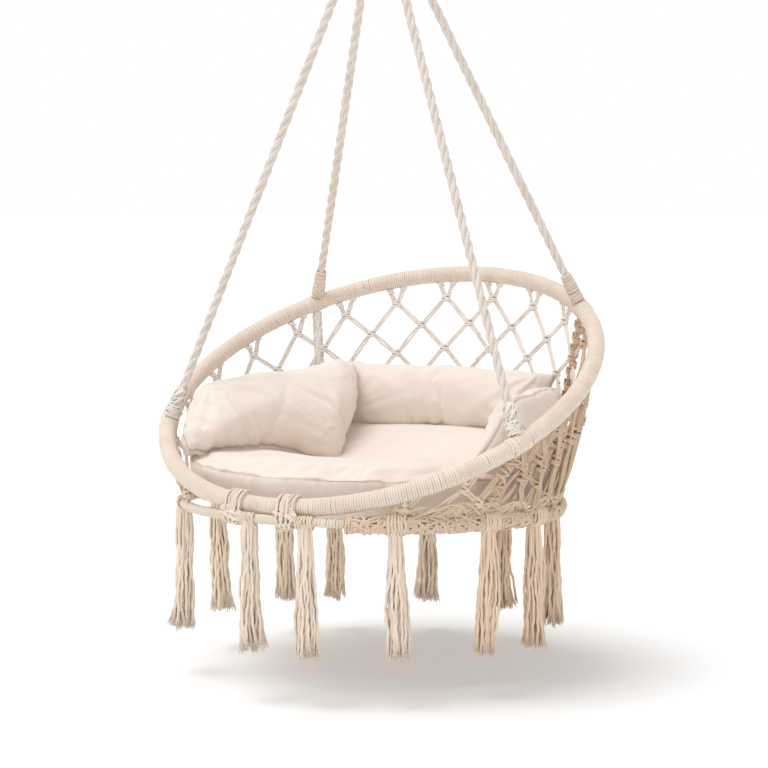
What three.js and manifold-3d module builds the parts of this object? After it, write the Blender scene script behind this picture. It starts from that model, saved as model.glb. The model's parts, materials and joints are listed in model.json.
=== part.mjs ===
import * as THREE from 'three';
import { mergeVertices } from 'three/addons/utils/BufferGeometryUtils.js';
import Module from 'manifold-3d';

// A round knotted hammock chair: a wrapped hoop and a seat ring with a diamond net between them,
// four laid ropes up to a whipped neck, a steel ring and a snap hook, a tasselled rim,
// a seat cushion and three pillows. Millimetres, +Z up, the sitter faces -Y.
// The origin is the point inside the top of the snap hook that bears on what holds it.

const wasm = await Module();
wasm.setup();

const DEG = Math.PI / 180;
const TURN = 2 * Math.PI;

// Clearances
const gap = 0.4; // between pieces that touch on the real chair
const ringClear = 0.9; // extra room for the facets of a bent tube inside a bent sleeve
const leastGapAllowed = 0.4;

// Snap hook
const hookWire = 10;
const hookLength = 84; // between the wire's centres at top and bottom
const hookWidth = 36; // between the wire's centres
const gateWire = 3.5;
const gateLength = 42;
const gateLean = 9 * DEG; // the closed gate lies inside the nose

// Hanging ring
const ringRadius = 38;
const ringWire = 8;

// Suspension ropes, loops and neck
const ropeDiameter = 16;
const ropeSpacing = 8.3; // from the middle of the neck to each rope's centre, along X and along Y
const loopClear = 0.9;
const loopDrop = 45; // from the ring's wire down to the top of the neck
const neckLength = 62;
const neckBinding = 54;
const neckCord = 5;
const neckPitch = 7.4;
const apexRise = 25; // the ropes' straight lines meet this far above the neck's end

// Hoop
const hoopRadius = 385;
const hoopTilt = 29.3 * DEG;
const hoopWrapRadius = 15;
const hoopWrapBore = 12.9;
const hoopTubeRadius = 10.5;
const hoopTubeWall = 1.2;
const frontRopeAngle = 64.5 * DEG; // from the front of the hoop
const backRopeAngle = 133.8 * DEG;

// Seat ring
const seatInset = 61; // how much smaller it is than the hoop
const seatRadius = hoopRadius - seatInset;
const seatForward = 26;
const seatDrop = 208; // below the hoop's centre
const seatRodRadius = 5;
const seatWrapBore = 6.9;
const seatWrapRadius = 8.5;

// How the chair hangs
const apexForward = 25.6;
const apexHeight = 852.6; // above the hoop's centre
const hangLean = 2.7 * DEG;

// Lashings on the hoop, front ties and stays
const lashingCord = 5;
const lashingPitch = 9;
const lashingLoops = 3;
const lashingHalf = 19; // half of the bare length of hoop that a lashing fills
const tieCord = 5;
const tiePitch = 7;
const tieLoops = 2;
const tieAngles = [-10 * DEG, 5 * DEG];
const collarLength = 52;
const collarFoot = 13;
const collarTop = 10.8;
const ropeFootRise = 23; // from the hoop's centre line up to the rope's end
const stayRadius = 7;

// Net
const netColumns = 24;
const netFirstRow = 44;
const netRowPitch = 47;
const netLegSpread = 3.2 * DEG;
const strandWidth = 8;
const strandThick = 5;
const netLeast = 62; // no knots where the wall is lower than this
const seatNetColumns = 10;
const seatNetShares = [0.82, 0.58, 0.36];
const seatNetSag = 14;
const seatHubRadius = 34;
const hubExtra = 2; // how much thicker the disc is than the strands

// Knotted band and tassels
const bandOuter = 17; // from the seat ring's centre line
const bandFrom = 71 * DEG; // its section runs from above the outside
const bandTo = -113 * DEG; // to below the inside
const bandSides = 4;
const bandSteps = 36;
const bandStart = 24 * DEG; // it runs round the back, up to where the hoop lies on the seat ring
const bandEnd = 276 * DEG;
const bandBottom = bandOuter * Math.cos((bandFrom - bandTo) / bandSides / 2);
const tasselLength = 212;
const tasselNeck = 26;
const tasselNeckLength = 10;
const tasselWidth = 36;
const tasselFoot = 44;
const tasselFullShare = 0.25; // where it has its whole width, and where it starts to fray out
const tasselFrayShare = 0.7;
const tasselAngles = [-90, -53, -6.5, 12, 38, 67, 88, 129, 162, 192, 223, 241].map((angle) => angle * DEG);

// Seat cushion: an oval seen from above, heights above the hoop's centre
const cushionHalfWidth = seatRadius - 8;
const cushionHalfDepth = seatRadius - 25;
const cushionForward = 11;
const cushionSeamZ = -135;
const cushionBackRise = 42; // how much higher its back edge is pushed
const cushionRiseShares = [-0.25, 0.75]; // from where to where it rises, from the middle to the back edge
const cushionCrown = 14;
const cushionDip = 24;
const cushionDipX = -70; // where it is pressed in most
const cushionDipY = 25;
const cushionTaper = 0.945; // its base is this share of its seam's size
const cushionSides = 28;
const cushionBaseShares = [0.35, 0.7, 0.97];
const cushionTopShares = [0.94, 0.82, 0.6, 0.35];

// Pillows: corners of the middle sheet as one faces each, from its top left; how far the sheet bows to
// the wall at its middle, and how far the cover bulges off it to the front and to the back
const pillowSteps = 8;
const pillowSeam = 3; // half the thickness at the edges
const pillowPull = 0.05; // how far the sides draw in between the corners
// Where the back pillow meets the others, from above, and the pillows' corners: shares of the seat
// cushion's half width and half depth and, for the corners, of the seat's drop below the hoop's centre
const leftSeamShares = [[-0.487, 0.569], [-0.601, 0.769]];
const rightSeamShares = [[0.633, 0.368], [0.829, 0.635]];
const pillows = {
  back: {
    cornerShares: [[-0.671, 0.789, 0.106], [0.722, 0.686, 0.029], [0.759, 0.518, -0.442], [-0.585, 0.652, -0.49]],
    bow: 46, front: 88, rear: 46,
  },
  left: {
    cornerShares: [[-0.905, -0.421, -0.173], [-0.608, 0.742, 0.106], [-0.316, 0.084, -0.654], [-0.759, -0.763, -0.606]],
    bow: 45, front: 94, rear: 46,
  },
  right: {
    cornerShares: [[0.816, 0.622, 0.01], [0.918, -0.375, -0.288], [0.791, -0.585, -0.587], [0.649, 0.351, -0.505]],
    bow: 36, front: 86, rear: 62,
  },
};

const COTTON = { color: 0xe9dcc6, roughness: 0.92, metalness: 0 };
const CANVAS = { color: 0xefe3d4, roughness: 0.9, metalness: 0 };
const STEEL = { color: 0xb9bcc0, roughness: 0.35, metalness: 1 };

function closed(geometry) {
  let bare = new THREE.BufferGeometry();
  bare.setAttribute('position', geometry.getAttribute('position'));
  if (geometry.index) bare.setIndex(geometry.index);
  bare = mergeVertices(bare, 1e-4);
  const p = bare.getAttribute('position');
  const index = Array.from(bare.index.array);
  const kept = [];
  let volume = 0;
  const [a, b, c] = [new THREE.Vector3(), new THREE.Vector3(), new THREE.Vector3()];
  for (let i = 0; i < index.length; i += 3) {
    const [i0, i1, i2] = index.slice(i, i + 3);
    if (i0 === i1 || i1 === i2 || i0 === i2) continue;
    kept.push(i0, i1, i2);
    a.fromBufferAttribute(p, i0);
    b.fromBufferAttribute(p, i1);
    c.fromBufferAttribute(p, i2);
    volume += a.dot(b.cross(c)) / 6;
  }
  if (volume < 0) kept.reverse();
  bare.setIndex(kept);
  bare.computeVertexNormals();
  return bare;
}

function solidOf(geometry) {
  const g = closed(geometry);
  return new wasm.Manifold(new wasm.Mesh({
    numProp: 3,
    vertProperties: new Float32Array(g.getAttribute('position').array),
    triVerts: new Uint32Array(g.index.array),
  }));
}

function geometryOf(solid) {
  const mesh = solid.getMesh();
  const g = new THREE.BufferGeometry();
  g.setAttribute('position', new THREE.BufferAttribute(new Float32Array(mesh.vertProperties), 3));
  g.setIndex(new THREE.BufferAttribute(new Uint32Array(mesh.triVerts), 1));
  g.computeVertexNormals();
  return g;
}

function piece(parent, name, geometry, finish) {
  const mesh = new THREE.Mesh(geometry, new THREE.MeshStandardMaterial(finish));
  mesh.name = name;
  parent.add(mesh);
  return mesh;
}

function ringShape(radius, sides, bore = 0) {
  const corners = (r) => Array.from({ length: sides }, (_, i) =>
    new THREE.Vector2(r * Math.cos(i * TURN / sides), r * Math.sin(i * TURN / sides)));
  const shape = new THREE.Shape(corners(radius));
  if (bore > 0) shape.holes.push(new THREE.Path(corners(bore).reverse()));
  return shape;
}

function tube(path, radius, sides, steps, bore = 0) {
  return new THREE.ExtrudeGeometry(ringShape(radius, sides, bore), { steps, extrudePath: path });
}

// A circle's arc in its own XY plane, from the front (-Y) towards +X
class RoundArc extends THREE.Curve {
  constructor(radius, from, to) {
    super();
    Object.assign(this, { radius, from, to });
  }
  getPoint(t, target = new THREE.Vector3()) {
    const angle = this.from + (this.to - this.from) * t;
    return target.set(this.radius * Math.sin(angle), -this.radius * Math.cos(angle), 0);
  }
}

// One unbroken tube through points, as rings of sides carried along without twist
function windingGeometry(points, radius, sides) {
  const vertices = [];
  const faces = [];
  const tangentAt = (i) => new THREE.Vector3()
    .subVectors(points[Math.min(i + 1, points.length - 1)], points[Math.max(i - 1, 0)]).normalize();
  let across = new THREE.Vector3(0, 0, 1);
  if (Math.abs(tangentAt(0).z) > 0.9) across = new THREE.Vector3(1, 0, 0);
  points.forEach((point, i) => {
    const tangent = tangentAt(i);
    across.addScaledVector(tangent, -across.dot(tangent)).normalize();
    const third = new THREE.Vector3().crossVectors(tangent, across);
    for (let k = 0; k < sides; k++) {
      const angle = k * TURN / sides;
      const corner = point.clone().addScaledVector(across, radius * Math.cos(angle))
        .addScaledVector(third, radius * Math.sin(angle));
      vertices.push(corner.x, corner.y, corner.z);
    }
  });
  for (let i = 0; i + 1 < points.length; i++) {
    for (let k = 0; k < sides; k++) {
      const [a, b] = [i * sides + k, i * sides + (k + 1) % sides];
      faces.push(a, b, b + sides, a, b + sides, a + sides);
    }
  }
  const last = (points.length - 1) * sides;
  for (let k = 1; k + 1 < sides; k++) {
    faces.push(0, k + 1, k, last, last + k, last + k + 1);
  }
  const g = new THREE.BufferGeometry();
  g.setAttribute('position', new THREE.Float32BufferAttribute(vertices, 3));
  g.setIndex(faces);
  return closed(g);
}

// Adds one straight tube diameter at each end of a winding's route
function withTails(points, diameter) {
  const head = points[0].clone().sub(points[1]).setLength(diameter).add(points[0]);
  const n = points.length;
  const tail = points[n - 1].clone().sub(points[n - 2]).setLength(diameter).add(points[n - 1]);
  return [head, ...points, tail];
}

function leastGap(name, points, diameter) {
  const along = [0];
  for (let i = 1; i < points.length; i++) along.push(along[i - 1] + points[i].distanceTo(points[i - 1]));
  const segment = new THREE.Line3();
  const near = new THREE.Vector3();
  let least = Infinity;
  for (let i = 0; i < points.length; i++) {
    for (let j = i + 1; j + 1 < points.length; j++) {
      if (along[j] - along[i] < Math.PI * diameter) continue;
      segment.set(points[j], points[j + 1]).closestPointToPoint(points[i], true, near);
      least = Math.min(least, near.distanceTo(points[i]) - diameter);
    }
  }
  console.log(`${name}: least gap to itself ${least.toFixed(2)} mm`);
  if (least < leastGapAllowed) throw new Error(`${name} winds too close to itself`);
}

const part = new THREE.Group();

// Snap hook: one bent rod in the YZ plane, open at the front where the wire gate closes it
const hookBow = hookWidth / 2;
const hookTopCentre = hookWire / 2 - hookBow;
const hookLowCentre = hookTopCentre - (hookLength - hookWidth);
const gateHinge = new THREE.Vector3(0, -hookBow, hookTopCentre);
const noseRise = hookLength - hookWidth - gateLength + gateWire;
const hookRoute = [new THREE.Vector3(0, -hookBow, hookTopCentre - hookWire / 2)];
const bowSteps = 8;
for (let i = 0; i <= bowSteps; i++) {
  const a = Math.PI * (1 - i / bowSteps);
  hookRoute.push(new THREE.Vector3(0, hookBow * Math.cos(a), hookTopCentre + hookBow * Math.sin(a)));
}
for (let i = 0; i <= bowSteps; i++) {
  const a = -Math.PI * i / bowSteps;
  hookRoute.push(new THREE.Vector3(0, hookBow * Math.cos(a), hookLowCentre + hookBow * Math.sin(a)));
}
hookRoute.push(new THREE.Vector3(0, -hookBow, hookLowCentre + noseRise));

const pegReach = 2.5; // how far each end of the gate's wire enters the hook's rod
const hookSides = 10;
const hookRod = solidOf(windingGeometry(hookRoute, hookWire / 2, hookSides));
const pegBore = new THREE.CylinderGeometry(gateWire / 2 + gap, gateWire / 2 + gap, 2 * hookWire, 10)
  .rotateZ(Math.PI / 2).translate(gateHinge.x, gateHinge.y, gateHinge.z);
piece(part, 'snap_hook', geometryOf(hookRod.subtract(solidOf(pegBore))), STEEL);

const legSpread = hookWire / 2 + gap + gateWire / 2;
const pegInner = hookWire / 2 - pegReach;
const cornerCut = gateWire;
function gatePoint(x, down) {
  return new THREE.Vector3(x, gateHinge.y + down * Math.sin(gateLean), gateHinge.z - down * Math.cos(gateLean));
}
const gateRoute = [
  gatePoint(-pegInner, 0), gatePoint(-legSpread - gap + cornerCut / 2, 0), gatePoint(-legSpread - gap, cornerCut / 2),
  gatePoint(-legSpread - gap, gateLength - cornerCut), gatePoint(-legSpread + cornerCut, gateLength),
  gatePoint(legSpread - cornerCut, gateLength), gatePoint(legSpread + gap, gateLength - cornerCut),
  gatePoint(legSpread + gap, cornerCut / 2), gatePoint(legSpread + gap - cornerCut / 2, 0), gatePoint(pegInner, 0),
];
piece(part, 'hook_gate', windingGeometry(gateRoute, gateWire / 2, 6), STEEL);

// Hanging ring: hangs on the hook's lower bow, across it
const bowWireZ = hookLowCentre - hookBow;
const ringCentreZ = bowWireZ + hookWire / 2 + gap + ringWire / 2 - ringRadius;
const ringGeometry = new THREE.TorusGeometry(ringRadius, ringWire / 2, 8, 28).rotateX(Math.PI / 2);
piece(part, 'hanging_ring', closed(ringGeometry), STEEL);
part.children.at(-1).position.z = ringCentreZ;

// Rope loops: each doubles over the ring's wire and comes down as one front and one back strand
const loopBend = ringWire / 2 + ropeDiameter / 2 + loopClear;
const loopAngle = Math.asin((ropeSpacing + gap) / (ringRadius - loopBend));
const swingZ = ringCentreZ - ringRadius * Math.cos(loopAngle);
const neckTopZ = swingZ - loopDrop;
const neckEndZ = neckTopZ - neckLength;
const ringSideX = ringRadius * Math.sin(loopAngle);

function loopRoute(side) {
  const out = new THREE.Vector3(Math.sin(loopAngle), 0, -Math.cos(loopAngle));
  const overWire = (a) => new THREE.Vector3(ringSideX, -loopBend * Math.cos(a), swingZ)
    .addScaledVector(out, -loopBend * Math.sin(a));
  const half = [
    new THREE.Vector3(ropeSpacing, -ropeSpacing, neckEndZ),
    new THREE.Vector3(ropeSpacing, -ropeSpacing, neckEndZ + neckLength / 2),
    new THREE.Vector3(ropeSpacing + gap, -ropeSpacing, neckTopZ),
    new THREE.Vector3(ringSideX - loopClear, -loopBend + loopClear, neckTopZ + loopDrop / 2),
    overWire(0), overWire(Math.PI / 6), overWire(Math.PI / 3),
  ];
  const back = half.slice().reverse().map((p) => new THREE.Vector3(p.x, -p.y, p.z));
  return new THREE.CatmullRomCurve3([...half, overWire(Math.PI / 2), ...back]
    .map((p) => new THREE.Vector3(side * p.x, p.y, p.z)), false, 'centripetal');
}
const sideNames = [['left', -1], ['right', 1]];
for (const [sideName, side] of sideNames) {
  piece(part, `rope_loop_${sideName}`, closed(tube(loopRoute(side), ropeDiameter / 2, 8, 26)), COTTON);
}

// Neck whipping: one cord wound round the four strands
const bundleRadius = Math.hypot(ropeSpacing, ropeSpacing) + ropeDiameter / 2;
const neckTurns = neckBinding / neckPitch;
const neckRadius = bundleRadius + gap + neckCord / 2 / Math.cos(Math.PI / 12) + gap;
const neckSteps = Math.round(neckTurns * 12);
const neckRoute = Array.from({ length: neckSteps + 1 }, (_, i) => {
  const a = TURN * neckTurns * i / neckSteps;
  const z = neckEndZ + (neckLength - neckBinding) / 2 + neckBinding * i / neckSteps;
  return new THREE.Vector3(neckRadius * Math.cos(a), neckRadius * Math.sin(a), z);
});
leastGap('neck_whipping', neckRoute, neckCord);
piece(part, 'neck_whipping', windingGeometry(withTails(neckRoute, neckCord), neckCord / 2, 5), COTTON);

// The chair's own frame: origin at the hoop's centre, leaning until its weight hangs below the ring
const chair = new THREE.Group();
const apex = new THREE.Vector3(0, -apexForward, apexHeight);
chair.rotation.x = -hangLean;
chair.position.set(0, 0, neckEndZ + apexRise).sub(apex.clone().applyEuler(chair.rotation));
part.add(chair);
chair.updateMatrixWorld(true);

function hoopPoint(angle) {
  const back = -hoopRadius * Math.cos(angle);
  return new THREE.Vector3(hoopRadius * Math.sin(angle), back * Math.cos(hoopTilt), back * Math.sin(hoopTilt));
}
function seatPoint(angle) {
  return new THREE.Vector3(seatRadius * Math.sin(angle), -seatForward - seatRadius * Math.cos(angle), -seatDrop);
}

const hoop = new THREE.Group();
hoop.rotation.x = hoopTilt;
chair.add(hoop);
const seat = new THREE.Group();
seat.position.set(0, -seatForward, -seatDrop);
chair.add(seat);

const weldGap = gap / hoopRadius;
piece(hoop, 'hoop_tube', closed(tube(new RoundArc(hoopRadius, weldGap, TURN - weldGap), hoopTubeRadius, 6, 40,
  hoopTubeRadius - hoopTubeWall)), STEEL);

const lashingAngles = {
  front_left: -frontRopeAngle, front_right: frontRopeAngle,
  back_right: backRopeAngle, back_left: -backRopeAngle,
};
const bare = lashingHalf / hoopRadius;
const wrapArcs = [
  ['front', -frontRopeAngle + bare, frontRopeAngle - bare],
  ['right', frontRopeAngle + bare, backRopeAngle - bare],
  ['back', backRopeAngle + bare, TURN - backRopeAngle - bare],
  ['left', -backRopeAngle + bare, -frontRopeAngle - bare],
];
const hoopStep = 7.5 * DEG;
for (const [name, from, to] of wrapArcs) {
  const steps = Math.round((to - from) / hoopStep);
  const arc = new RoundArc(hoopRadius, from, to);
  piece(hoop, `hoop_wrap_${name}`, closed(tube(arc, hoopWrapRadius, 8, steps, hoopWrapBore)), COTTON);
}

// A torus in the chair's frame, to trim what ends on the hoop or on the seat ring
const cutterSides = 10;
function ringCutter(majorRadius, minorRadius, tilt, centre) {
  const cornerRadius = minorRadius / Math.cos(Math.PI / cutterSides);
  return solidOf(new THREE.TorusGeometry(majorRadius, cornerRadius, cutterSides, 72).rotateX(tilt)
    .translate(centre.x, centre.y, centre.z));
}
const hoopCutter = ringCutter(hoopRadius, hoopWrapRadius + gap + ringClear, hoopTilt, new THREE.Vector3());
const lashOuter = hoopTubeRadius + gap + ringClear + lashingCord;
const lashingCutter = ringCutter(hoopRadius, lashOuter + gap, hoopTilt, new THREE.Vector3());
const seatCutter = ringCutter(seatRadius, seatWrapRadius + gap + ringClear, 0, seat.position);

// Knotted band: hugs the seat ring from outside and below; its section as turns about the seat's axis
function bandGeometry(inner, outer, over, steps) {
  const at = (radius, angle) =>
    new THREE.Vector2(seatRadius + radius * Math.cos(angle), radius * Math.sin(angle));
  const angles = Array.from({ length: bandSides + 1 }, (_, i) => bandFrom + (bandTo - bandFrom) * i / bandSides);
  const grow = angles.map((angle, i) => angle + (i === 0 ? over : 0) - (i === bandSides ? over : 0));
  const section = [...grow.map((angle) => at(outer, angle)), ...grow.reverse().map((angle) => at(inner, angle))];
  return new THREE.LatheGeometry([...section, section[0]], steps).rotateX(Math.PI / 2);
}
function bandSolid(inner, outer, over) {
  const from = bandStart - over;
  const to = bandEnd + over;
  const edge = Array.from({ length: bandSteps + 1 }, (_, i) => {
    const angle = from + (to - from) * i / bandSteps;
    return new THREE.Vector2(Math.sin(angle), -Math.cos(angle)).multiplyScalar(2 * seatRadius);
  });
  const sector = new THREE.ExtrudeGeometry(new THREE.Shape([new THREE.Vector2(), ...edge]),
    { depth: 4 * bandOuter, bevelEnabled: false }).translate(0, 0, -2 * bandOuter);
  return solidOf(bandGeometry(inner, outer, over, bandSteps)).intersect(solidOf(sector));
}
const bandInner = seatWrapRadius + gap + ringClear;
const bandCutter = bandSolid(bandInner - gap, bandOuter + gap, gap / bandInner)
  .translate(seat.position.toArray());

// Lashings: cord wound on the bare tube where a rope comes down
const lashSteps = 12;
for (const [name, centre] of Object.entries(lashingAngles)) {
  const count = lashingLoops * lashSteps;
  const wound = lashOuter - lashingCord / 2;
  const route = Array.from({ length: count + 1 }, (_, i) => {
    const share = i / count - 0.5;
    const angle = centre + share * lashingPitch * lashingLoops / hoopRadius;
    const a = TURN * lashingLoops * share;
    const out = hoopRadius + wound * Math.cos(a);
    return new THREE.Vector3(out * Math.sin(angle), -out * Math.cos(angle), wound * Math.sin(a));
  });
  leastGap(`lashing_${name}`, route, lashingCord);
  piece(hoop, `lashing_${name}`, windingGeometry(route, lashingCord / 2, 5), COTTON);
}

// Seat ring
const seatSteps = 36;
const seatRod = new THREE.TorusGeometry(seatRadius, seatRodRadius, 5, seatSteps).rotateZ(-Math.PI / 2);
piece(seat, 'seat_ring_rod', closed(seatRod), STEEL);
const wrapOpen = Math.PI + gap / seatRadius;
piece(seat, 'seat_ring_wrap', closed(tube(new RoundArc(seatRadius, wrapOpen, TURN + Math.PI - gap / seatRadius),
  seatWrapRadius, 6, seatSteps, seatWrapBore)), COTTON);

// Front ties: cord wound round the hoop and the seat ring together
const tieSteps = 16;
tieAngles.forEach((centre, n) => {
  const upper = hoopPoint(centre);
  const lower = seatPoint(Math.atan2(upper.x, -upper.y - seatForward));
  const across = lower.clone().sub(upper);
  const apart = across.length();
  across.normalize();
  const along = hoopPoint(centre + DEG).sub(hoopPoint(centre - DEG)).normalize();
  along.addScaledVector(across, -along.dot(across)).normalize();
  const third = new THREE.Vector3().crossVectors(along, across);
  const upperRadius = hoopWrapRadius + 2 * gap + ringClear + tieCord / 2;
  const lowerRadius = seatWrapRadius + 2 * gap + ringClear + tieCord / 2;
  const count = tieLoops * tieSteps;
  const route = Array.from({ length: count + 1 }, (_, i) => {
    const a = TURN * tieLoops * i / count;
    const [middle, radius] = Math.cos(a) > gap / lowerRadius ? [lower, lowerRadius] : [upper, upperRadius];
    return middle.clone().addScaledVector(across, radius * Math.cos(a))
      .addScaledVector(third, radius * Math.sin(a))
      .addScaledVector(along, tiePitch * tieLoops * (i / count - 0.5));
  });
  leastGap(`front_tie_${n + 1}`, route, tieCord);
  piece(chair, `front_tie_${n + 1}`, windingGeometry(route, tieCord / 2, 5), COTTON);
});

// Suspension ropes: hand-chosen routes on the right side, from the neck down to the hoop
const frontRopePoints = [
  [8.3, -8.3, -250.6], [8.5, -8.4, -258], [10.3, -8.8, -267], [14.5, -9.8, -279], [20.2, -11.6, -292],
  [27.7, -14.2, -309], [39.2, -18.9, -336], [62.3, -29.2, -391.4], [86.6, -40.6, -456.1], [114.3, -53.5, -530],
  [145.5, -68.1, -613.2], [176.6, -82.7, -696.4], [207.8, -97.4, -779.5], [239, -112, -862.7],
  [270.1, -126.6, -945.8], [301.3, -141.2, -1029], [339.5, -159.1, -1130.9],
];
const backRopePoints = [
  [8.3, 8.3, -250.6], [8.5, 8.5, -258], [10.2, 9.8, -267], [14.4, 13, -279], [20, 17.2, -292],
  [27.7, 23, -309], [40.2, 32.4, -333], [61.3, 49.4, -387], [85.2, 68.6, -449.9], [112.4, 90.5, -521.9],
  [143.1, 115.2, -602.8], [173.7, 139.9, -683.8], [204.4, 164.5, -764.7], [235.1, 189.2, -845.6],
  [270, 217.4, -938],
];
const ropeSteps = 20;
const ropeRoutes = [['front', frontRopePoints, frontRopeAngle], ['back', backRopePoints, backRopeAngle]];
for (const [sideName, side] of sideNames) {
  for (const [end, route, angle] of ropeRoutes) {
    const points = route.map(([x, y, z]) => new THREE.Vector3(side * x, y, z));
    // Its foot keeps to the hoop when the hoop's size is changed
    const foot = hoopPoint(side * angle);
    foot.add(apex.clone().sub(foot).setLength(ropeFootRise)).applyMatrix4(chair.matrixWorld);
    const [first, last] = [points[0].clone(), points.at(-1).clone()];
    foot.sub(last);
    points.forEach((point) => point.addScaledVector(foot, (point.z - first.z) / (last.z - first.z)));
    const path = new THREE.CatmullRomCurve3(points, false, 'centripetal');
    piece(part, `rope_${end}_${sideName}`, closed(tube(path, ropeDiameter / 2, 8, ropeSteps)), COTTON);
  }
}

// Collars: whipping on each rope's foot, sitting on its lashing; stays go on down to the seat ring
const roundOf8 = Math.cos(Math.PI / 8); // from an eight-sided tube's corners to its flats
const collarBore = (ropeDiameter / 2 + gap) / roundOf8;
for (const [name, angle] of Object.entries(lashingAngles)) {
  const foot = hoopPoint(angle);
  const up = apex.clone().sub(foot).normalize();
  const collarEnd = lashOuter + collarLength;
  const profile = [
    [collarBore, 0], [collarFoot, 0], [collarFoot, lashOuter + collarLength / 3],
    [collarTop, collarEnd], [collarBore, collarEnd], [collarBore, 0],
  ].map(([r, z]) => new THREE.Vector2(r, z));
  const collar = new THREE.LatheGeometry(profile, 8)
    .applyQuaternion(new THREE.Quaternion().setFromUnitVectors(new THREE.Vector3(0, 1, 0), up))
    .translate(foot.x, foot.y, foot.z);
  piece(chair, `rope_collar_${name}`, geometryOf(solidOf(collar).subtract(lashingCutter)), COTTON);

  const stay = solidOf(tube(new THREE.LineCurve3(foot, seatPoint(angle)), stayRadius, 8, 1))
    .subtract(lashingCutter).subtract(seatCutter).subtract(bandCutter);
  piece(chair, `stay_${name}`, geometryOf(stay), COTTON);
}

// The diamond net: every knot is a lozenge whose four sides carry a strand or end
const SIDES = [[1, 0], [0, 1], [-1, 0], [0, -1]]; // a lozenge's corners: right, bottom, left, top
const NEXT = [[1, 1], [1, -1], [-1, -1], [-1, 1]]; // row and half-column steps off its four sides
const knotKey = (row, half) => `${row},${half}`;

function netGeometry(knots, endOf) {
  const vertices = [];
  const faces = [];
  const quad = (a, b, c, d) => faces.push(a, b, c, a, c, d);
  const halfKnot = strandWidth / Math.SQRT2;
  for (const knot of new Set(knots.values())) {
    knot.first = vertices.length / 3;
    for (const lift of [strandThick / 2, -strandThick / 2]) {
      for (const [x, y] of SIDES) {
        vertices.push(...knot.centre.clone().addScaledVector(knot.across, x * halfKnot)
          .addScaledVector(knot.down, y * halfKnot).addScaledVector(knot.out, lift).toArray());
      }
    }
  }
  const at = (i) => new THREE.Vector3().fromArray(vertices, 3 * i);
  for (const knot of new Set(knots.values())) {
    const outer = (k) => knot.first + (k % 4);
    const inner = (k) => outer(k) + 4;
    quad(outer(0), outer(1), outer(2), outer(3));
    quad(inner(3), inner(2), inner(1), inner(0));
    NEXT.forEach(([rowStep, halfStep], s) => {
      const other = knots.get(knotKey(knot.row + rowStep, knot.half + halfStep));
      if (other && rowStep < 0) return;
      let ends = null;
      if (other) {
        const [a, b] = [other.first + (s + 3) % 4, other.first + (s + 2) % 4];
        ends = [a, b, a + 4, b + 4];
      } else {
        const end = endOf(knot, rowStep, halfStep);
        if (!end) {
          quad(outer(s + 1), outer(s), inner(s), inner(s + 1));
          return;
        }
        const corners = [outer(s), outer(s + 1), inner(s), inner(s + 1)];
        const middle = corners.reduce((sum, i) => sum.add(at(i)), new THREE.Vector3()).divideScalar(4);
        const first = vertices.length / 3;
        corners.forEach((i) => vertices.push(...at(i).add(end).sub(middle).toArray()));
        ends = [first, first + 1, first + 2, first + 3];
        quad(ends[1], ends[0], ends[2], ends[3]);
      }
      quad(outer(s + 1), outer(s), ends[0], ends[1]);
      quad(inner(s), inner(s + 1), ends[3], ends[2]);
      quad(ends[0], outer(s), inner(s), ends[2]);
      quad(outer(s + 1), ends[1], ends[3], inner(s + 1));
    });
  }
  const g = new THREE.BufferGeometry();
  g.setAttribute('position', new THREE.Float32BufferAttribute(vertices, 3));
  g.setIndex(faces);
  return closed(g);
}

const halfColumn = Math.PI / netColumns;
function wallFrame(angle) {
  const top = hoopPoint(angle);
  const down = seatPoint(angle).sub(top);
  const height = down.length();
  down.normalize();
  const across = hoopPoint(angle + halfColumn).sub(hoopPoint(angle - halfColumn));
  across.addScaledVector(down, -across.dot(down)).normalize();
  return { top, down, across, out: new THREE.Vector3().crossVectors(down, across), height };
}
function wallPoint(angle, drop) {
  const frame = wallFrame(angle);
  return frame.top.addScaledVector(frame.down, Math.min(drop, frame.height));
}
const rowDrop = (row) => netFirstRow + netRowPitch * row;
const netRows = Math.ceil(2 * hoopRadius / netRowPitch);
const lashingReach = (lashingLoops * lashingPitch / 2 + lashingCord) / hoopRadius;
const stayCutters = Object.values(lashingAngles).flatMap((angle) => [
  [hoopPoint(angle), seatPoint(angle), stayRadius + gap],
  [hoopPoint(angle - lashingReach), hoopPoint(angle + lashingReach), lashOuter + gap],
].map(([from, to, radius]) => solidOf(tube(new THREE.LineCurve3(from, to), radius / roundOf8, 8, 1))));
// Panels end at the stays and half way between; first and last half-column of each
const netPanels = [
  ['front_right', 5, 8], ['right_front', 9, 13], ['right_back', 14, 17], ['back_right', 18, 23],
  ['back_left', 24, 30], ['left_back', 31, 34], ['left_front', 35, 39], ['front_left', 40, 43],
];
const stayHalves = Object.values(lashingAngles).map((angle) => (angle < 0 ? angle + TURN : angle) / halfColumn);
const stayBetween = (one, other) => stayHalves.some((half) => (half - one) * (half - other) < 0);

function largestOf(solid) {
  return solid.decompose().sort((one, other) => other.volume() - one.volume())[0];
}

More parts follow.
